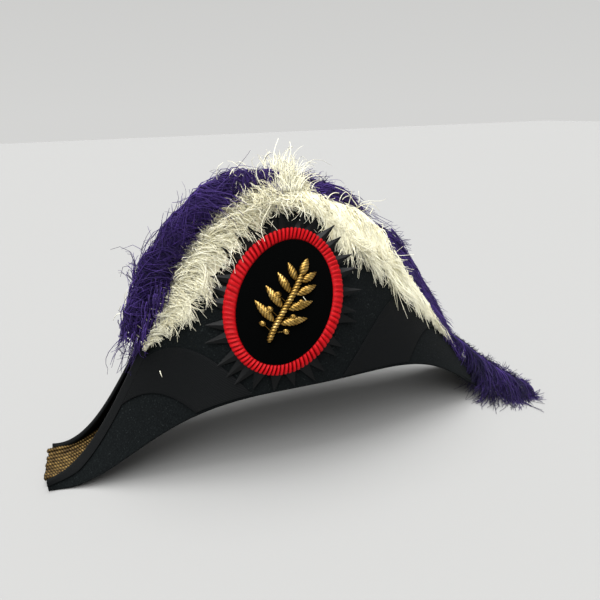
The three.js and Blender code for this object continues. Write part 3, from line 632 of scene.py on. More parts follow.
def tarnish_and_groove_shade(tree, shader, dark, middle, bright):
    """Gilt dulled in patches, with painted shade that darkens the grooves between the turns of its wire."""
    dulled = colour_steps(tree, noise(tree, object_coordinates(tree), 220, 4), [
        (0.30, dark),
        (0.52, middle),
        (0.72, bright),
    ])
    # Painted shade: the tone, low between two turns of the wire, darkens the gilt there almost to black.
    groove_shade = colour_steps(tree, tone_factor(tree), [(0.15, (0.08, 0.06, 0.04)), (0.75, (1, 1, 1))])
    both = tree.nodes.new("ShaderNodeMix")
    both.data_type = "RGBA"
    both.blend_type = "MULTIPLY"
    both.inputs["Factor"].default_value = 1
    tree.links.new(dulled, both.inputs["A"])
    tree.links.new(groove_shade, both.inputs["B"])
    tree.links.new(both.outputs["Result"], shader.inputs["Base Color"])


tarnish_and_groove_shade(gold_tree, gold_shader, dark=(0.21, 0.12, 0.024), middle=(0.38, 0.235, 0.056),
          bright=(0.58, 0.40, 0.14))


def sprig_point(across, along, height):
    share = np.hypot(across / FIELD_ACROSS, along / FIELD_ALONG)
    return badge_point(across, along, field_lift(share) + SPRIG_GAP + height)


def stem_across(along):
    return STEM_BEND * np.sin(np.pi * along / (STEM_TOP - STEM_FOOT))


# The same height is each point's tone, which the gilt's finish turns into painted shade between the turns.
def coil_ridge(distance):
    """Height of the coiled wire's ribs along a length, from 0 between two turns to 1."""
    return np.abs(np.sin(np.pi * distance / COIL_PITCH))


def shaped_tube(columns, rows, place):
    """A closed tube: u goes round it and v along it. place gives its points and their lightness."""
    tones = []

    def placed(u, v):
        points, tone = place(u, v)
        tones.append(tone)
        return points

    tube = shaped_grid("tube", columns, rows, placed)
    set_tone(tube, tones[0])
    edit_all((bpy.ops.mesh.remove_doubles, {"threshold": WELD}), (bpy.ops.mesh.fill_holes, {"sides": 0}))
    return tube


def stem_place(u, v):
    along = lerp(STEM_FOOT, STEM_TOP, v)
    angle = 2 * np.pi * u
    ridge = coil_ridge(along - STEM_FOOT + COIL_STARTS * u * COIL_PITCH)
    ends = np.minimum(1, np.sqrt(8 * np.minimum(v, 1 - v)) + 0.25)
    radius = (STEM_RADIUS + COIL_DEPTH * (ridge - 0.5)) * ends
    return sprig_point(stem_across(along) + radius * np.cos(angle), along,
                       STEM_RADIUS + radius * np.sin(angle)), ridge


def leaf_place(u, v, across, along, length, width, turn):
    angle, lean = 2 * np.pi * u, np.radians(turn)
    wide = np.sin(np.pi * v ** 0.85) ** 0.8
    sideways = np.cos(angle) * wide * width / 2
    pad = np.where(np.sin(angle) > 0, np.sin(angle) * LEAF_HEIGHT, 0.35 * np.sin(angle)) * wide
    ridge = coil_ridge(v * length - 0.9 * sideways)
    height = 0.5 + pad + np.where(np.sin(angle) > 0, ridge * COIL_DEPTH * wide, 0)
    return sprig_point(across + v * length * np.sin(lean) + sideways * np.cos(lean),
                       along + v * length * np.cos(lean) - sideways * np.sin(lean), height), ridge


def berry_place(u, v, across, along):
    angle, rise = 2 * np.pi * u, np.pi * v
    ridge = coil_ridge(v * 3 * BERRY_RADIUS + COIL_STARTS * u * COIL_PITCH)
    radius = BERRY_RADIUS * (0.9 + 0.12 * ridge)
    return sprig_point(across + radius * np.sin(rise) * np.cos(angle),
                       along + radius * np.sin(rise) * np.sin(angle),
                       0.8 * BERRY_RADIUS - 0.8 * radius * np.cos(rise)), ridge


def stalk_place(u, v, start, end):
    angle = 2 * np.pi * u
    across, along = lerp(start[0], end[0], v), lerp(start[1], end[1], v)
    return sprig_point(across + STALK_RADIUS * np.cos(angle), along,
                       STALK_RADIUS * (1.4 + np.sin(angle))), np.ones(len(u))


def leaf(across, hand, along, length, width, turn):
    rows = int(length / COIL_PITCH * COIL_STEPS)
    return shaped_tube(LEAF_COLUMNS, rows,
                       lambda u, v: leaf_place(u, v, across, along, length, width, hand * turn))


def berry_on_stalk(hand, along):
    start = stem_across(along) + hand * STEM_RADIUS, along
    berry = (start[0] + hand * STALK_LENGTH * np.sin(np.radians(STALK_TURN)),
             along + STALK_LENGTH * np.cos(np.radians(STALK_TURN)))
    return [shaped_tube(STALK_SIDES, STALK_ROWS, lambda u, v: stalk_place(u, v, start, berry)),
            shaped_tube(BERRY_SIDES, BERRY_ROWS, lambda u, v: berry_place(u, v, *berry))]


stem_rows = int((STEM_TOP - STEM_FOOT) / COIL_PITCH * COIL_STEPS)
sprig = [shaped_tube(STEM_SIDES, stem_rows, stem_place)]
for row in LEAVES:
    for hand in (-1, 1):
        sprig.append(leaf(stem_across(row["along"]) + hand * STEM_RADIUS, hand, **row))
        sprig += berry_on_stalk(hand, row["along"] - STALK_LENGTH)
sprig.append(leaf(stem_across(STEM_TOP), 1, **TOP_LEAF))
gold_sprig = joined(sprig, "gold_sprig")
smooth_closed(gold_sprig, angle=70)
gold_sprig.data.materials.append(gold)
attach(gold_sprig, "root")
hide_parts("badge_sprig")

# Gold cords. Nine cords of twisted gilt wire, darkened with age, laid side by side in the open front tip.
# Their cut ends stand just past its edge, and they run back out of sight between the flaps.
CORD_COUNT, CORD_RADIUS, CORD_FROM, CORD_TO = 9, 2.25, -213.0, -147.0
CORD_HEIGHT, CORD_TWIST, CORD_STRANDS, CORD_SIDES, CORD_STEP = 2.1, 6.0, 3, 20, 0.5
CORD_END_SCATTER, CORD_SIDE_RISE, CORD_SHIFT = 1.4, 2.2, 1.0
cord_ends = seeded.uniform(-CORD_END_SCATTER, 0, CORD_COUNT)
old_gold, old_gold_tree, old_gold_shader = new_finish("darkened gilt cord", (0.2, 0.13, 0.04), 0.45,
                                                      Metallic=0.85)
tarnish_and_groove_shade(old_gold_tree, old_gold_shader, dark=(0.040, 0.023, 0.007), middle=(0.085, 0.052, 0.014),
          bright=(0.17, 0.11, 0.034))


# The lobes of the twist are also each point's tone, which the gilt's finish turns into painted shade between
# the strands.
def cord_place(u, v, cord):
    x = lerp(CORD_FROM - cord_ends[cord] - CORD_END_SCATTER, CORD_TO, v)
    angle = 2 * np.pi * u
    lobes = np.abs(np.cos(CORD_STRANDS / 2 * (angle - 2 * np.pi * x / CORD_TWIST)))
    round_end = np.minimum(1, np.sqrt(np.minimum(v, 1 - v) * 40) + 0.2)
    size = (0.76 + 0.24 * lobes) * round_end
    aside = (2 * cord + 1 - CORD_COUNT) / CORD_COUNT
    middle = aside * CORD_COUNT * CORD_RADIUS + CORD_SHIFT
    floor = fold_corner(np.maximum(x, -TIP_X))[1] + FELT + GAP + CORD_SIDE_RISE * np.abs(aside) ** 3
    return np.stack([x, middle + 1.02 * CORD_RADIUS * size * np.cos(angle),
                     floor + CORD_HEIGHT * (1 + size * np.sin(angle))], axis=-1), lobes


cord_rows = int((CORD_TO - CORD_FROM) / CORD_STEP)
cords = [shaped_tube(CORD_SIDES, cord_rows, lambda u, v: cord_place(u, v, cord))
         for cord in range(CORD_COUNT)]
gold_cords = joined(cords, "gold_cords")
smooth_closed(gold_cords, angle=70)
gold_cords.data.materials.append(old_gold)
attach(gold_cords, "root")
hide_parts("tip_bullion")

# Cream plume. A long ostrich feather sewn along the ridge by its quill. Its soft barbs sweep to the rear,
# fall over the dressed side in uneven locks on a bed of down, and stand up in a tuft at the top.
QUILL_HEIGHT, QUILL_LIFT, QUILL_BAND = 0.93, 3.35, (-0.03, 0.04)
BARB_STEPS, BARB_TIP, BARB_SIZES = 8, 0.35, (0.7, 1.2)
CURL_FROM, WAVE_TURNS, WAVE_TURNS_VARY = 0.45, 1.2, 0.35
LOCK_PITCH, LOCK_LAYERS, LOCK_LOOSE, LOCK_SCATTER = 6.5, 3, 0.45, 2.2
LOCK_PULLS, LOCK_LENGTHS, LOCK_PUFFS, LOCK_TONE = (0.2, 0.7), (0.84, 1.10), (0.5, 1.5), 0.16
LONG_TO, SHORT_TO, LONG_FALL, SHORT_FALL, STRAY_FALL = 0.52, 0.96, (0.72, 1.05), (0.25, 0.80), (1.05, 1.20)
SWEEP_VARY, LEAST_SWEEP, BEND_ALONG, BEND_DOWN = 0.3, 0.7, 0.55, 0.38
LEAST_PUFF, PUFF_FADE, PUFF_ROOTWARD, PUFF_ROUND, FALL_SINK = 0.25, 1.3, 0.6, 0.8, 1.2
CREAM_RADIUS, CREAM_FROM, CREAM_MIDDLE, CREAM_TO = 0.45, -124.0, 8.0, 140.0
CREST_START, CREST_DROP, ARCH_ROOTWARD = 8.0, 16.0, 0.8
BOLD_HEIGHT, BOLD_THICK = 1.2, 1.7
DOWN_REACH, DOWN_THICKNESS, DOWN_COLUMNS, DOWN_ROWS = 0.60, 0.8, 110, 14
DOWN_LIFT, DOWN_PUFF, DOWN_TONE = 2.6, 0.36, 0.5


def columns(names, *rows):
    """A table of sizes, with its columns under their names."""
    return dict(zip(names.split(), np.array(rows, float).T))


def size_at(sizes, column, at):
    """A size between the rows of a table."""
    return np.interp(at, sizes["at"], sizes[column])


CREAM_SIZES = columns(
    "at sweep puff crest quill curl",
    (-124, 8, 4, 2, 0.87, 1.05),
    (-108, 17, 7, 5, 0.89, 1.05),
    (-92, 23, 10, 12, 0.91, 1.05),
    (-78, 27, 10, 20, 0.93, 1.05),
    (-55, 29, 10, 20, 0.93, 1.05),
    (-25, 23, 6, 15, 0.95, 1.05),
    (0, 10, 4, 9, 0.97, 1.05),
    (15, 8, 4, 2, 0.94, 1.05),
    (30, 9, 4, -2, 0.90, 1.05),
    (50, 10, 3, -1, 0.93, 0.8),
    (74, 12, 2.5, -2, 0.95, 0.45),
    (92, 12, 2, -6, 0.82, 0.2),
    (112, 12, 2, -6, 0.80, 0.12),
    (140, 10, 2, -5, 0.80, 0.12),
)
CREAM_FRINGE = columns(
    "at s",
    (-122, 0.87),
    (-100, 0.63),
    (-80, 0.57),
    (-63, 0.65),
    (-49, 0.76),
    (-31, 0.81),
    (-16, 0.95),
    (6, 0.94),
    (18, 0.80),
    (36, 0.61),
    (62, 0.54),
    (80, 0.48),
    (105, 0.52),
    (135, 0.66),
    (157, 0.88),
)
DOWN_OVER_QUILL = columns(
    "at s",
    (70, 0.06),
    (92, -0.02),
)


def barb_mesh(name, paths, radii, tones):
    """One mesh of closed three-sided barbs along paths of equal count, from root to tip."""
    count, steps, _ = paths.shape
    tangent = unit(np.gradient(paths, axis=1))
    aside = unit(np.cross(tangent, unit(seeded.normal(size=(count, 1, 3)))))
    over = np.cross(tangent, aside)
    taper = (radii[:, None] * np.linspace(1, BARB_TIP, steps))[..., None]
    corners = [paths + taper * (np.cos(a) * aside + np.sin(a) * over) for a in np.radians([0, 120, 240])]
    rings = np.stack(corners, axis=2).reshape(count, 3 * steps, 3)
    tips = paths[:, -1:] + tangent[:, -1:] * taper[:, -1:]
    vertices = np.concatenate([rings, tips], axis=1)
    faces = [(2, 1, 0)]
    for i in range(steps):
        for j in range(3):
            a, b = 3 * i + j, 3 * i + (j + 1) % 3
            if i < steps - 1:
                faces += [(a, b, b + 3), (a, b + 3, a + 3)]
            else:
                faces.append((a, b, 3 * steps))
    shift = np.arange(count)[:, None, None] * (3 * steps + 1)
    mesh = bpy.data.meshes.new(name)
    mesh.from_pydata(in_scene(vertices.reshape(-1, 3)), [], (np.array(faces) + shift).reshape(-1, 3).tolist())
    mesh.polygons.foreach_set("use_smooth", np.ones(len(mesh.polygons), bool))
    mesh.update()
    piece = bpy.data.objects.new(name, mesh)
    bpy.context.collection.objects.link(piece)
    set_tone(piece, np.repeat(tones, 3 * steps + 1))
    return piece


def barb_finish(name, deep, pale, roughness, sheen):
    material, tree, shader = new_finish(name, pale, roughness, Sheen_Weight=sheen, Specular_IOR_Level=0.2)
    coloured(tree, shader, tone_factor(tree), [(0.0, deep), (1.0, pale)])
    return material


def bent(start, through, end, t):
    """A quadratic curve from start to end that leaves towards through."""
    return lerp(lerp(start, through, t), lerp(through, end, t), t)


def spread(low, high, count):
    return seeded.uniform(low, high, count)[:, None]


def scatter(middle, by, count):
    return seeded.normal(middle, by, count)[:, None]


def numbered(*keys):
    """Numbers from 0 for the different rows that some whole-number keys make."""
    return np.unique(np.stack(keys, axis=1), axis=0, return_inverse=True)[1].ravel()


def lock_of(x):
    return numbered(np.floor(x / LOCK_PITCH))


def wavy(paths, lock, wave, curl, flat=(0, 0, 0)):
    """Gives barbs their waves and turned tips, nearly alike in one lock and square to flat."""
    count, steps, _ = paths.shape
    t = np.linspace(0, 1, steps)[None, :, None]
    length = np.linalg.norm(np.diff(paths, axis=1), axis=-1).sum(axis=1)[:, None, None]

    def alike(size):
        shared = seeded.normal(size=(lock.max() + 1, 1, size))[lock]
        return shared + LOCK_LOOSE * seeded.normal(size=(count, 1, size))

    phase = 2 * alike(1)
    ripple = np.sin(2 * np.pi * (WAVE_TURNS + WAVE_TURNS_VARY * alike(1)) * t + phase) - np.sin(phase)
    waved = paths + unit(alike(3)) * ripple * wave * length * t
    start = int(CURL_FROM * (steps - 1))
    ahead = unit(waved[:, start + 1] - waved[:, start])[:, None]
    bow = unit(np.cross(ahead, alike(3) + np.sign(alike(1)) * np.asarray(flat, float)))
    angle = curl * np.abs(alike(1)) + 1e-3
    u = np.maximum(0, t - CURL_FROM) / (1 - CURL_FROM)
    radius = length * (1 - CURL_FROM) / angle
    turned = ahead * (radius * np.sin(angle * u) - length * (1 - CURL_FROM) * u)
    return waved + turned + bow * radius * (1 - np.cos(angle * u))


def barb_group(paths, lock, wave, curl, thick=1.0, tone=0.5, flat=(0, 0, 0)):
    """Barbs for a plume, waved and curled, with their locks, thickness and lightness."""
    return {"paths": wavy(paths, lock, wave, curl, flat), "lock": lock, "thick": thick, "tone": tone}


def fallen_barbs(x_root, quill, sizes, fringe, side):
    """Barbs that leave the quill and fall over a flap, gathered into locks, with the lock of each."""
    count = len(x_root)
    x_tip = x_root + size_at(sizes, "sweep", x_root) * seeded.normal(1, SWEEP_VARY, count)
    kind = seeded.uniform(size=count)
    long_share = seeded.uniform(*LONG_FALL, count)
    short_share = seeded.uniform(*SHORT_FALL, count)
    stray_share = seeded.uniform(*STRAY_FALL, count)
    share = np.where(kind < LONG_TO, long_share, np.where(kind < SHORT_TO, short_share, stray_share))
    x_end = lerp(x_root, x_tip, share)
    layer = np.floor(share * LOCK_LAYERS)
    column = np.floor(x_end / LOCK_PITCH + layer / LOCK_LAYERS)
    lock = numbered(column, layer)
    locks = lock.max() + 1
    lock_x = (column + 0.5 - layer / LOCK_LAYERS) * LOCK_PITCH + seeded.normal(0, LOCK_SCATTER, locks)[lock]
    lock_length = seeded.uniform(*LOCK_LENGTHS, locks)[lock]
    lock_puff = seeded.uniform(*LOCK_PUFFS, locks)[lock]
    x_end = np.maximum(lerp(x_end, lock_x, seeded.uniform(*LOCK_PULLS, count)),
                       lerp(x_root, x_tip, LEAST_SWEEP * share))
    s_root = quill + seeded.uniform(*QUILL_BAND, count)
    s_end = lerp(s_root, size_at(fringe, "s", x_tip), share * lock_length)
    puff = size_at(sizes, "puff", x_root) * lock_puff
    height = (puff * (LEAST_PUFF + seeded.uniform(0, 1, count) * (PUFF_FADE - share)))[:, None]
    x = bent(x_root[:, None], lerp(x_root, x_end, BEND_ALONG)[:, None], x_end[:, None], barb_t)
    s = bent(s_root[:, None], lerp(s_root, s_end, BEND_DOWN)[:, None], s_end[:, None], barb_t)
    puffed = height * np.sin(np.pi * barb_t ** PUFF_ROOTWARD) ** PUFF_ROUND
    return off_wall(x, s, side, QUILL_LIFT + puffed - FALL_SINK * barb_t), lock


def over_ridge(x, side, out, rise):
    """Places given by how far they stand out from a flap's top edge and square to the ridge."""
    point, _, along, outward = wall_frame(x, np.ones_like(x), side)
    square = np.cross(along, outward) * side
    return point + outward * out[..., None] + square * rise[..., None]


def ridge_barbs(x, side, out, rise, sweep):
    """Barbs with roots at x that stand out, rise and run along the ridge at each of their steps."""
    return over_ridge(x[:, None] + sweep, side, out, rise)


def down_place(u, v, first, last):
    """The bed of down, from over the ridge to most of the way to the fringe."""
    x = lerp(first, last, u)
    quill = size_at(CREAM_SIZES, "quill", x)
    low = lerp(quill, size_at(CREAM_FRINGE, "s", x), DOWN_REACH)
    lumps = 0.8 + 0.2 * np.sin(0.9 * x + 9 * v) * np.cos(0.37 * x - 5 * v)
    puff = DOWN_PUFF * size_at(CREAM_SIZES, "puff", x) * np.sin(np.pi * v ** PUFF_ROOTWARD) * lumps
    high = np.minimum(1, quill + size_at(DOWN_OVER_QUILL, "s", x))
    return off_wall(x, lerp(high, low, v), NEAR, DOWN_LIFT + puff - FALL_SINK * v)


def lock_tones(middle, lock):
    """Lightness of each barb, nearly alike in one lock."""
    shared = seeded.normal(0, LOCK_TONE, lock.max() + 1)[lock]
    return np.clip(middle + shared + seeded.normal(0, LOCK_TONE, len(lock)), 0, 1)


def plume(name, groups, radius, under):
    """Joins groups of barbs to what is under them."""
    paths = np.concatenate([group["paths"] for group in groups])
    radii = np.concatenate([radius * group["thick"] * seeded.uniform(*BARB_SIZES, len(group["paths"]))
                            for group in groups])
    tones = np.concatenate([lock_tones(group["tone"], group["lock"]) for group in groups])
    return joined([barb_mesh(name, paths, radii, tones), *under], name)


barb_t = np.linspace(0, 1, BARB_STEPS)[None]
near_out = np.array([0, -1.6, 0.7])
cream = barb_finish("cream ostrich barbs", deep=(0.92, 0.86, 0.60), pale=(0.99, 0.97, 0.80), roughness=0.85,
                    sheen=0.05)


def cream_fall(count, first, last):
    x = seeded.uniform(first, last, count)
    paths, lock = fallen_barbs(x, size_at(CREAM_SIZES, "quill", x), CREAM_SIZES, CREAM_FRINGE, NEAR)
    curl = size_at(CREAM_SIZES, "curl", x)[:, None, None]
    return barb_group(paths, lock, wave=0.055, curl=curl, tone=0.7, flat=near_out)


def cream_crest(count, first, last):
    """Barbs that arch over the ridge before they fall."""
    x = seeded.uniform(first, last, count)
    crest = size_at(CREAM_SIZES, "crest", x)[:, None] * spread(0.4, 1.0, count)
    sweep = size_at(CREAM_SIZES, "sweep", x)[:, None] * scatter(0.9, 0.4, count)
    puff = size_at(CREAM_SIZES, "puff", x)[:, None]
    quill = size_at(CREAM_SIZES, "quill", x)
    root = ((quill - QUILL_HEIGHT) * wall_height(x))[:, None]
    room = ((quill - size_at(CREAM_FRINGE, "s", x)) * wall_height(x))[:, None]
    out = puff * (spread(0.1, 0.5, count) + spread(0.2, 1.0, count) * barb_t)
    arch = root + spread(-7, -1, count) + crest * np.sin(np.pi * barb_t ** ARCH_ROOTWARD)
    drop = np.minimum(CREST_DROP, 2 + room) * spread(0.1, 1.0, count) * barb_t ** 2
    paths = ridge_barbs(x, NEAR, out, arch - drop, sweep * barb_t)
    return barb_group(paths, lock_of(x), wave=0.05, curl=0.8, tone=0.66)


def cream_strays(count, first, last, root, height, thick):
    """Single barbs that stand off the plume."""
    x = seeded.uniform(first, last, count)
    rise = spread(0.4 * height, height, count) * np.sin(np.pi / 2 * barb_t)
    out = spread(4, 11, count) + scatter(0, 3, count) * barb_t + 0.5 * rise
    paths = ridge_barbs(x, NEAR, out, root + spread(-5, 5, count) + rise,
                        scatter(3, 9, count) * barb_t ** 1.5)
    return barb_group(paths, np.arange(count), wave=0.06, curl=1.0, thick=thick, tone=0.8)


TUFT_BARBS, TUFT_X, TUFT_SPREAD, TUFT_LOW, TUFT_HIGH = 430, -8.0, 6.0, 12.0, 36.0
TUFT_ROOT, TUFT_LEAN, TUFT_LEAN_VARY, TUFT_FAN = -4.0, 3.0, 5.0, 0.4
tuft_x = seeded.normal(TUFT_X, TUFT_SPREAD, TUFT_BARBS)
tuft_lean = scatter(TUFT_LEAN, TUFT_LEAN_VARY, TUFT_BARBS) + TUFT_FAN * (tuft_x - TUFT_X)[:, None]
tuft_rise = lerp(TUFT_LOW, TUFT_HIGH, spread(0, 1, TUFT_BARBS) ** 4)
tuft_paths = ridge_barbs(tuft_x, NEAR,
                         spread(3, 10, TUFT_BARBS) + scatter(1, 3, TUFT_BARBS) * barb_t,
                         TUFT_ROOT + tuft_rise * np.sin(np.pi / 2 * barb_t),
                         tuft_lean * barb_t ** 1.5)
tuft = barb_group(tuft_paths, lock_of(2 * tuft_x), wave=0.05, curl=0.5, tone=0.75)
CROSSING_BARBS, CROSSING_FROM, CROSSING_TO, CROSSING_ROOT = 36, -22.0, 26.0, -8.0
crossing_paths = ridge_barbs(seeded.uniform(CROSSING_FROM, CROSSING_TO, CROSSING_BARBS), NEAR,
                             spread(4, 8, CROSSING_BARBS),
                             CROSSING_ROOT - spread(8, 24, CROSSING_BARBS) * barb_t,
                             scatter(2, 14, CROSSING_BARBS) * barb_t)
crossing = barb_group(crossing_paths, np.arange(CROSSING_BARBS), wave=0.08, curl=1.0, thick=1.2, tone=0.8)
LONG_STRAYS = columns(
    "root_x root_rise bend_x bend_rise tip_x tip_rise lean",
    (-69, 3, -67, 13, -57, 15, 0.85),
    (-45, 9, -50, 20, -40, 23, 0.85),
    (-43, 7, -42, 14, -37, 17, 0.85),
    (-41, 6, -35, 17, -33, 9, 0.85),
    (-68, 6, -62, 15, -53, 9, 0.85),
    (-25, 3, -29, 11, -22, 15, 0.85),
    (-88, -3, -93, 5, -101, 6, 0.85),
    (-90, -1, -93, 5, -98, 4, 0.85),
    (-85, 0, -84, 6, -79, 5, 0.85),
    (-14, 4, -13, 25, -4, 42, 0),
    (-4, 6, -2, 25, 12, 40, 0),
    (-9, 6, -6, 25, 4, 36, 0),
)
STRAY_OUT = 9.0
stray_x, stray_rise = (
    bent(*(LONG_STRAYS[f"{place}_{way}"][:, None] for place in ("root", "bend", "tip")), barb_t)
    for way in ("x", "rise")
)
stray_out = STRAY_OUT + LONG_STRAYS["lean"][:, None] * np.maximum(0, stray_rise)
long_strays = barb_group(over_ridge(stray_x, NEAR, stray_out, stray_rise), np.arange(len(stray_x)),
                         wave=0.03, curl=0.3, thick=BOLD_THICK, tone=0.85)
SHED_BARBS = columns(
    "x_from x_to s_from s_to lift",
    (-116.4, -115.7, 0.525, 0.455, 2.2),
    (-11.6, -8.3, 0.470, 0.427, 7.4),
)
shed_x, shed_s = (lerp(SHED_BARBS[way + "_from"][:, None], SHED_BARBS[way + "_to"][:, None], barb_t)
                  for way in ("x", "s"))
shed = barb_group(off_wall(shed_x, shed_s, NEAR, SHED_BARBS["lift"][:, None]), np.arange(len(shed_x)),
                  wave=0.02, curl=0.3, tone=0.8)

CREAM_PARTS = [
    {"name": "cream_plume", "first": CREAM_FROM, "last": CREAM_MIDDLE, "loose_to": CREAM_MIDDLE,
     "fall": 2350, "crest": 1120, "strays": 70, "stray_root": 1, "stray_height": 22, "bold": 8,
     "more": [tuft, crossing, long_strays, shed]},
    {"name": "cream_rear_plume", "first": CREAM_MIDDLE, "last": CREAM_TO, "loose_to": 82.0,
     "fall": 3000, "crest": 330, "strays": 14, "stray_root": -6, "stray_height": 11, "bold": 1,
     "more": []},
]
for part in CREAM_PARTS:
    ends = part["first"], part["last"]
    loose = part["first"], part["loose_to"], part["stray_root"]
    bed = shaped_grid("down", DOWN_COLUMNS, DOWN_ROWS, lambda u, v: down_place(u, v, *ends), True)
    thicken(bed, DOWN_THICKNESS, DOWN_THICKNESS / 4)
    set_tone(bed, np.full(len(bed.data.vertices), DOWN_TONE))
    barbs = [
        cream_fall(part["fall"], *ends),
        cream_crest(part["crest"], part["first"] + CREST_START, part["loose_to"]),
        cream_strays(part["strays"], *loose, part["stray_height"], thick=1.0),
        cream_strays(part["bold"], *loose, BOLD_HEIGHT * part["stray_height"], thick=BOLD_THICK),
        *part["more"],
    ]
    cream_plume = plume(part["name"], barbs, CREAM_RADIUS, [bed])
    cream_plume.data.materials.append(cream)
    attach(cream_plume, "root")
    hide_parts("white_plume")

# Violet plume. A dyed ostrich feather sewn along the ridge on the far side. Its barbs wrap round behind the
# cream ones in a dense smooth roll, fall over the far flap, and hang off its front end.
VIOLET_FROM, VIOLET_MIDDLE, VIOLET_TO, VIOLET_RADIUS = -127.0, 20.0, 138.0, 0.46
VIOLET_SIZES = columns(
    "at sweep puff rise",
    (-127, 4, 5, 25),
    (-115, 8, 8, 33),
    (-95, 12, 10, 37),
    (-70, 14, 10, 38),
    (-50, 14, 10, 32),
    (-35, 14, 10, 25),
    (-15, 12, 10, 19),
    (5, 12, 10, 9),
    (20, 12, 8, 5),
    (45, 12, 8, 6),
    (62, 12, 7, 3),
    (138, 10, 5, 5),
)
VIOLET_FRINGE = columns(
    "at s",
    (-132, 0.80),
    (-118, 0.66),
    (-95, 0.58),
    (-60, 0.58),
    (0, 0.62),
    (60, 0.58),
    (100, 0.56),
    (150, 0.78),
)
ROLL_MIDDLE, ROLL_NEAR_WIDTH, ROLL_FAR_WIDTH, ROLL_FOOT, ROLL_UNDER = 3.5, 12.5, 8.5, -4.0, -0.15
ROLL_TO, ROLL_THINS, ROLL_SIDES, ROLL_ROWS = 46.0, 14.0, 24, 100
# The core's tone is far lower than its barbs': painted shade deep inside the roll, seen in the gaps between
# them.
CORE_SHARE, CORE_INSET, CORE_SHADE_TONE = 0.84, 4.0, 0.12
violet = barb_finish("violet ostrich barbs", deep=(0.006, 0.003, 0.030), pale=(0.075, 0.036, 0.24),
                     roughness=0.65, sheen=0.04)
far_out = np.array([0, 1.6, 0.7])


def roll_place(x, angle, share):
    """A place on the roll: angle goes from its far foot at 0 over the top to its near foot at pi."""
    uneven = 1 + 0.06 * np.sin(0.13 * x + 1) + 0.04 * np.sin(0.31 * x)
    rise = size_at(VIOLET_SIZES, "rise", x) * uneven
    width = np.where(np.cos(angle) > 0, ROLL_FAR_WIDTH, ROLL_NEAR_WIDTH)
    return over_ridge(x, FAR, ROLL_MIDDLE + share * width * np.cos(angle),
                      ROLL_FOOT + share * (rise - ROLL_FOOT) * np.maximum(np.sin(angle), ROLL_UNDER))


def core_place(u, v):
    """The roll's dense inside, closed below and rounded off at both ends."""
    share = CORE_SHARE * np.minimum(1, np.sqrt(12 * np.minimum(v, 1 - v)) + 0.1)
    x = lerp(VIOLET_FROM + CORE_INSET, ROLL_TO - CORE_INSET, v)
    return roll_place(x, 2 * np.pi * u, share), np.full(len(u), CORE_SHADE_TONE)


def violet_roll(count, first, last, start, turn):
    """Barbs wound on the roll, from the start angle through the turn, both in shares of a half turn."""
    x = seeded.uniform(first, last, count)
    lock = lock_of(x)
    begin = start + scatter(0, 0.12, count)
    angle = np.pi * (begin + turn * spread(0.45, 1.1, count) * barb_t)
    sweep = seeded.normal(10, 13, lock.max() + 1)[lock] + seeded.normal(0, 10, count)
    share = spread(0.84, 1.03, count) + spread(-0.02, 0.08, count) * barb_t
    paths = roll_place(x[:, None] + sweep[:, None] * barb_t, angle, share)
    return barb_group(paths, lock, wave=0.065, curl=0.8)


def violet_fall(count, first, last):
    x = seeded.uniform(first, last, count)
    paths, lock = fallen_barbs(x, QUILL_HEIGHT, VIOLET_SIZES, VIOLET_FRINGE, FAR)
    return barb_group(paths, lock, wave=0.04, curl=0.9, flat=far_out)


def violet_strays(count, first, last):
    x = seeded.uniform(first, last, count)
    rise = size_at(VIOLET_SIZES, "rise", x)[:, None]
    paths = ridge_barbs(x, FAR, ROLL_MIDDLE + scatter(0, 5, count),
                        rise * 0.8 + spread(4, 15, count) * barb_t, spread(-14, 16, count) * barb_t)
    return barb_group(paths, np.arange(count), wave=0.05, curl=1.6, thick=0.7, tone=0.2)


def hanging_barbs(x, side, out, drift, rise, sink, sink_power, sweep):
    """Barbs that hang off the front end, each size drawn between two ends."""
    return ridge_barbs(x, side, spread(*out, len(x)) + drift * barb_t,
                       spread(*rise, len(x)) * (1 - sink * barb_t ** sink_power),
                       -spread(*sweep, len(x)) * barb_t)


def lying_barbs(x, out, drift, low, arch, sweep):
    """Barbs that lie along the ridge in low arches, each size drawn between two ends."""
    return ridge_barbs(x, NEAR, spread(*out, len(x)) + drift * barb_t,
                       spread(*low, len(x)) + spread(*arch, len(x)) * np.sin(np.pi * barb_t ** ARCH_ROOTWARD),
                       spread(*sweep, len(x)) * barb_t)


HANGING_BARBS, HANGING_FROM, HANGING_TO = 430, -122.0, -96.0
hanging_x = seeded.uniform(HANGING_FROM, HANGING_TO, HANGING_BARBS)
hanging_paths = hanging_barbs(hanging_x, FAR, out=(-16, 9), drift=-2, rise=(5, 35), sink=0.2, sink_power=1.6,
                              sweep=(2, 11))
hanging = barb_group(hanging_paths, lock_of(1.6 * hanging_x), wave=0.06, curl=0.8, tone=0.55)
WISP_BARBS, WISP_FROM, WISP_TO = 100, -125.0, -116.0
wisp_x = seeded.uniform(WISP_FROM, WISP_TO, WISP_BARBS)
wisp_paths = hanging_barbs(wisp_x, NEAR, out=(-6, 4), drift=1, rise=(-3, 9), sink=0.5, sink_power=1,
                           sweep=(5, 22))
wisps = barb_group(wisp_paths, lock_of(2 * wisp_x), wave=0.06, curl=0.7, thick=0.9, tone=0.35)
REAR_BARBS, REAR_FROM, REAR_TO, REAR_CROWDING = 1050, 80.0, 136.0, 0.8
rear_x = lerp(REAR_FROM, REAR_TO, seeded.uniform(size=REAR_BARBS) ** REAR_CROWDING)
rear_paths = lying_barbs(rear_x, out=(3, 6), drift=-2, low=(-12, 10), arch=(1, 6), sweep=(8, 28))
rear = barb_group(rear_paths, lock_of(rear_x), wave=0.04, curl=0.5)
CLUMP_BARBS, CLUMP_FROM, CLUMP_TO = 420, 12.0, 34.0
clump_x = seeded.uniform(CLUMP_FROM, CLUMP_TO, CLUMP_BARBS)
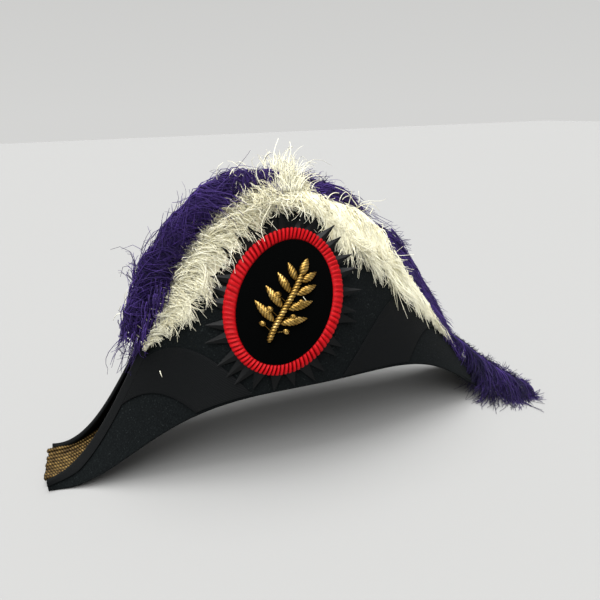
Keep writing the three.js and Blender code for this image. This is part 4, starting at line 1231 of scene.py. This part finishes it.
clump_paths = lying_barbs(clump_x, out=(-6, 5), drift=-1, low=(-8, 4), arch=(0, 4), sweep=(8, 24))
clump = barb_group(clump_paths, lock_of(clump_x), wave=0.05, curl=0.6, tone=0.4)
REAR_TUFTS, TUFT_EACH, TUFT_WIDTH = [76.0, 94.0, 106.0, 117.0, 129.0], 60, 3.0
rear_tuft_lock = np.repeat(np.arange(len(REAR_TUFTS)), TUFT_EACH)
rear_tuft_count = len(rear_tuft_lock)
rear_tuft_x = np.array(REAR_TUFTS)[rear_tuft_lock] + seeded.normal(0, TUFT_WIDTH, rear_tuft_count)
rear_tuft_paths = ridge_barbs(rear_tuft_x, FAR,
                              spread(-7, 2, rear_tuft_count) + 2 * barb_t,
                              spread(2, 6, rear_tuft_count) + spread(5, 13, rear_tuft_count) * barb_t,
                              spread(8, 21, rear_tuft_count) * barb_t)
rear_tufts = barb_group(rear_tuft_paths, rear_tuft_lock, wave=0.05, curl=0.8, thick=0.9, tone=0.45)

roll_core = shaped_tube(ROLL_SIDES, ROLL_ROWS, core_place)
smooth_closed(roll_core, angle=60)
VIOLET_PARTS = [
    {"name": "violet_plume", "first": VIOLET_FROM, "last": VIOLET_MIDDLE, "roll_to": VIOLET_MIDDLE,
     "near_roll": 1800, "far_roll": 850, "fall": 750, "strays": 60,
     "more": [hanging, wisps], "under": [roll_core]},
    {"name": "violet_rear_plume", "first": VIOLET_MIDDLE, "last": VIOLET_TO, "roll_to": ROLL_TO - ROLL_THINS,
     "near_roll": 420, "far_roll": 250, "fall": 650, "strays": 14,
     "more": [clump, rear, rear_tufts], "under": []},
]
for part in VIOLET_PARTS:
    roll_ends = part["first"], part["roll_to"]
    barbs = [
        violet_roll(part["near_roll"], *roll_ends, start=0.38, turn=0.55),
        violet_roll(part["far_roll"], *roll_ends, start=0.62, turn=-0.75),
        violet_fall(part["fall"], part["first"], part["last"]),
        violet_strays(part["strays"], *roll_ends),
        *part["more"],
    ]
    violet_plume = plume(part["name"], barbs, VIOLET_RADIUS, part["under"])
    violet_plume.data.materials.append(violet)
    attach(violet_plume, "root")
    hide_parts("purple_plume")

# Violet tail. The feather's free end: its bare shaft leaves the ridge, curls down past the rear tip,
# and carries long barbs that droop to the table and curl there.
TAIL_SEATS, TAIL_SEAT_LIFT = [138.0, 147.0], 3.5
TAIL_SHAFT = [(163, -18, 53), (180, -27, 37), (201, -39, 22), (224, -51, 9)]
TAIL_RADIUS, TAIL_FLOOR, TAIL_BARBS, TAIL_LOCKS = 1.5, 0.9, 2200, 22
TAIL_FROM, TAIL_TO, TAIL_NEAR_SHARE, TAIL_FAR_LENGTH = 0.12, 0.97, 0.72, 0.45
TAIL_LENGTHS, TAIL_FORWARD_VARY, SHAFT_STEP = (0.6, 1.05), 0.10, 0.01
UPRIGHT = np.array([0, 0, 1.0])
TAIL_REACH = columns(
    "at reach forward",
    (0.12, 10, 0.92),
    (0.32, 19, 0.88),
    (0.42, 29, 0.76),
    (0.55, 46, 0.55),
    (0.70, 57, 0.42),
    (0.85, 52, 0.34),
    (0.97, 34, 0.30),
)

seats = off_wall(np.array(TAIL_SEATS), np.ones(2), NEAR, np.zeros(2)) + TAIL_SEAT_LIFT * UPRIGHT
shaft_points = np.concatenate([seats, np.array(TAIL_SHAFT, float)])


def shaft_point(t):
    """A smooth curve through the shaft's points, from t = 0 to 1."""
    last = len(shaft_points) - 1
    longer = np.concatenate([2 * shaft_points[:1] - shaft_points[1:2], shaft_points,
                             2 * shaft_points[-1:] - shaft_points[-2:-1]])
    span = np.clip(np.floor(t * last).astype(int), 0, last - 1)
    f = (t * last - span)[..., None]
    a, b, c, d = (longer[span + k] for k in range(4))
    return 0.5 * (2 * b + (c - a) * f + (2 * a - 5 * b + 4 * c - d) * f ** 2
                  + (3 * b - a - 3 * c + d) * f ** 3)


def by_side(near, far):
    """A size for each barb of the tail, drawn from the range for its side of the shaft."""
    return np.where(tail_near, seeded.uniform(*near, TAIL_BARBS), seeded.uniform(*far, TAIL_BARBS))


tail_t = seeded.uniform(TAIL_FROM, TAIL_TO, TAIL_BARBS)
tail_near = seeded.uniform(size=TAIL_BARBS) < TAIL_NEAR_SHARE
tail_lock = numbered(np.floor(tail_t * TAIL_LOCKS), tail_near.astype(int))
tail_root = shaft_point(tail_t)
tail_tangent = unit(shaft_point(np.minimum(1, tail_t + SHAFT_STEP)) - shaft_point(tail_t - SHAFT_STEP))
tail_side = unit(np.cross(tail_tangent, UPRIGHT))
tail_above = np.cross(tail_side, tail_tangent)
tail_length = size_at(TAIL_REACH, "reach", tail_t) * seeded.uniform(*TAIL_LENGTHS, TAIL_BARBS)
tail_length *= np.where(tail_near, 1, TAIL_FAR_LENGTH)
tail_out = by_side(near=(0.05, 0.46), far=(-0.6, 0.1))
tail_up = by_side(near=(-0.2, 0.25), far=(0.0, 0.42))
tail_forward = size_at(TAIL_REACH, "forward", tail_t) + seeded.normal(0, TAIL_FORWARD_VARY, TAIL_BARBS)
tail_droop = by_side(near=(0.5, 1.05), far=(0, 0.4))
tail_step = barb_t[..., None]
tail_aside = (tail_side * tail_out[:, None] + tail_above * tail_up[:, None]) * tail_length[:, None]
tail_ahead = tail_tangent * (tail_forward * tail_length)[:, None]
tail_paths = (tail_root[:, None] + tail_ahead[:, None] * tail_step * (1 - 0.4 * tail_step)
              + tail_aside[:, None] * tail_step ** 1.3
              - UPRIGHT * (tail_droop * tail_length)[:, None, None] * tail_step ** 2)
# The tail's barbs take a low tone: painted shade, the same violet feather darkened for the weaker light that
# falls on it.
tail_barbs = barb_group(tail_paths, tail_lock, wave=0.025, curl=1.3, tone=0.10)
tail_barbs["paths"][..., 2] = np.maximum(tail_barbs["paths"][..., 2], TAIL_FLOOR)
# The shaft's pale tone is a painted highlight along it.
shaft = {"paths": shaft_point(np.linspace(0, TAIL_TO, BARB_STEPS))[None], "lock": np.zeros(1, int),
         "thick": TAIL_RADIUS / VIOLET_RADIUS, "tone": 0.9}
violet_tail = plume("violet_tail", [tail_barbs, shaft], VIOLET_RADIUS, [])
violet_tail.data.materials.append(violet)
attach(violet_tail, "root")
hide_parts("purple_tail")

# Table and light. A plain pale table top under a broad soft light from above and behind,
# with a weaker one from the front so that the dark felt keeps its shape.
TABLE_SIZE = 12
table_top = new_piece("table_top", bpy.ops.mesh.primitive_plane_add, size=TABLE_SIZE)
pale, _, _ = new_finish("pale table", (0.35, 0.35, 0.346), 0.8, Specular_IOR_Level=0.1)
table_top.data.materials.append(pale)
world = bpy.data.worlds.new("soft room")
world.use_nodes = True
room = world.node_tree
height = room.nodes.new("ShaderNodeSeparateXYZ")
room.links.new(room.nodes.new("ShaderNodeTexCoord").outputs["Generated"], height.inputs["Vector"])
room.links.new(colour_steps(room, height.outputs["Z"], [
    (0.0, (0.66, 0.66, 0.65)),
    (0.17, (0.62, 0.62, 0.61)),
    (0.34, (0.28, 0.28, 0.28)),
    (1.0, (0.62, 0.62, 0.61)),
]), room.nodes["Background"].inputs["Color"])
room.nodes["Background"].inputs["Strength"].default_value = 1.0
bpy.context.scene.world = world
bpy.context.scene.view_settings.view_transform = "Standard"
LIGHTS = [
    {"name": "overhead", "place": (-0.2, 0.15, 1.5), "spread": 50, "strength": 3.3},
    {"name": "front", "place": (-0.5, -0.9, 1.5), "spread": 45, "strength": 2.3},
]
for row in LIGHTS:
    light = new_piece(row["name"], bpy.ops.object.light_add, type="SUN", location=row["place"])
    light.data.angle = np.radians(row["spread"])
    light.data.energy = row["strength"]
    light.rotation_euler = (-Vector(row["place"])).to_track_quat("-Z", "Y").to_euler()
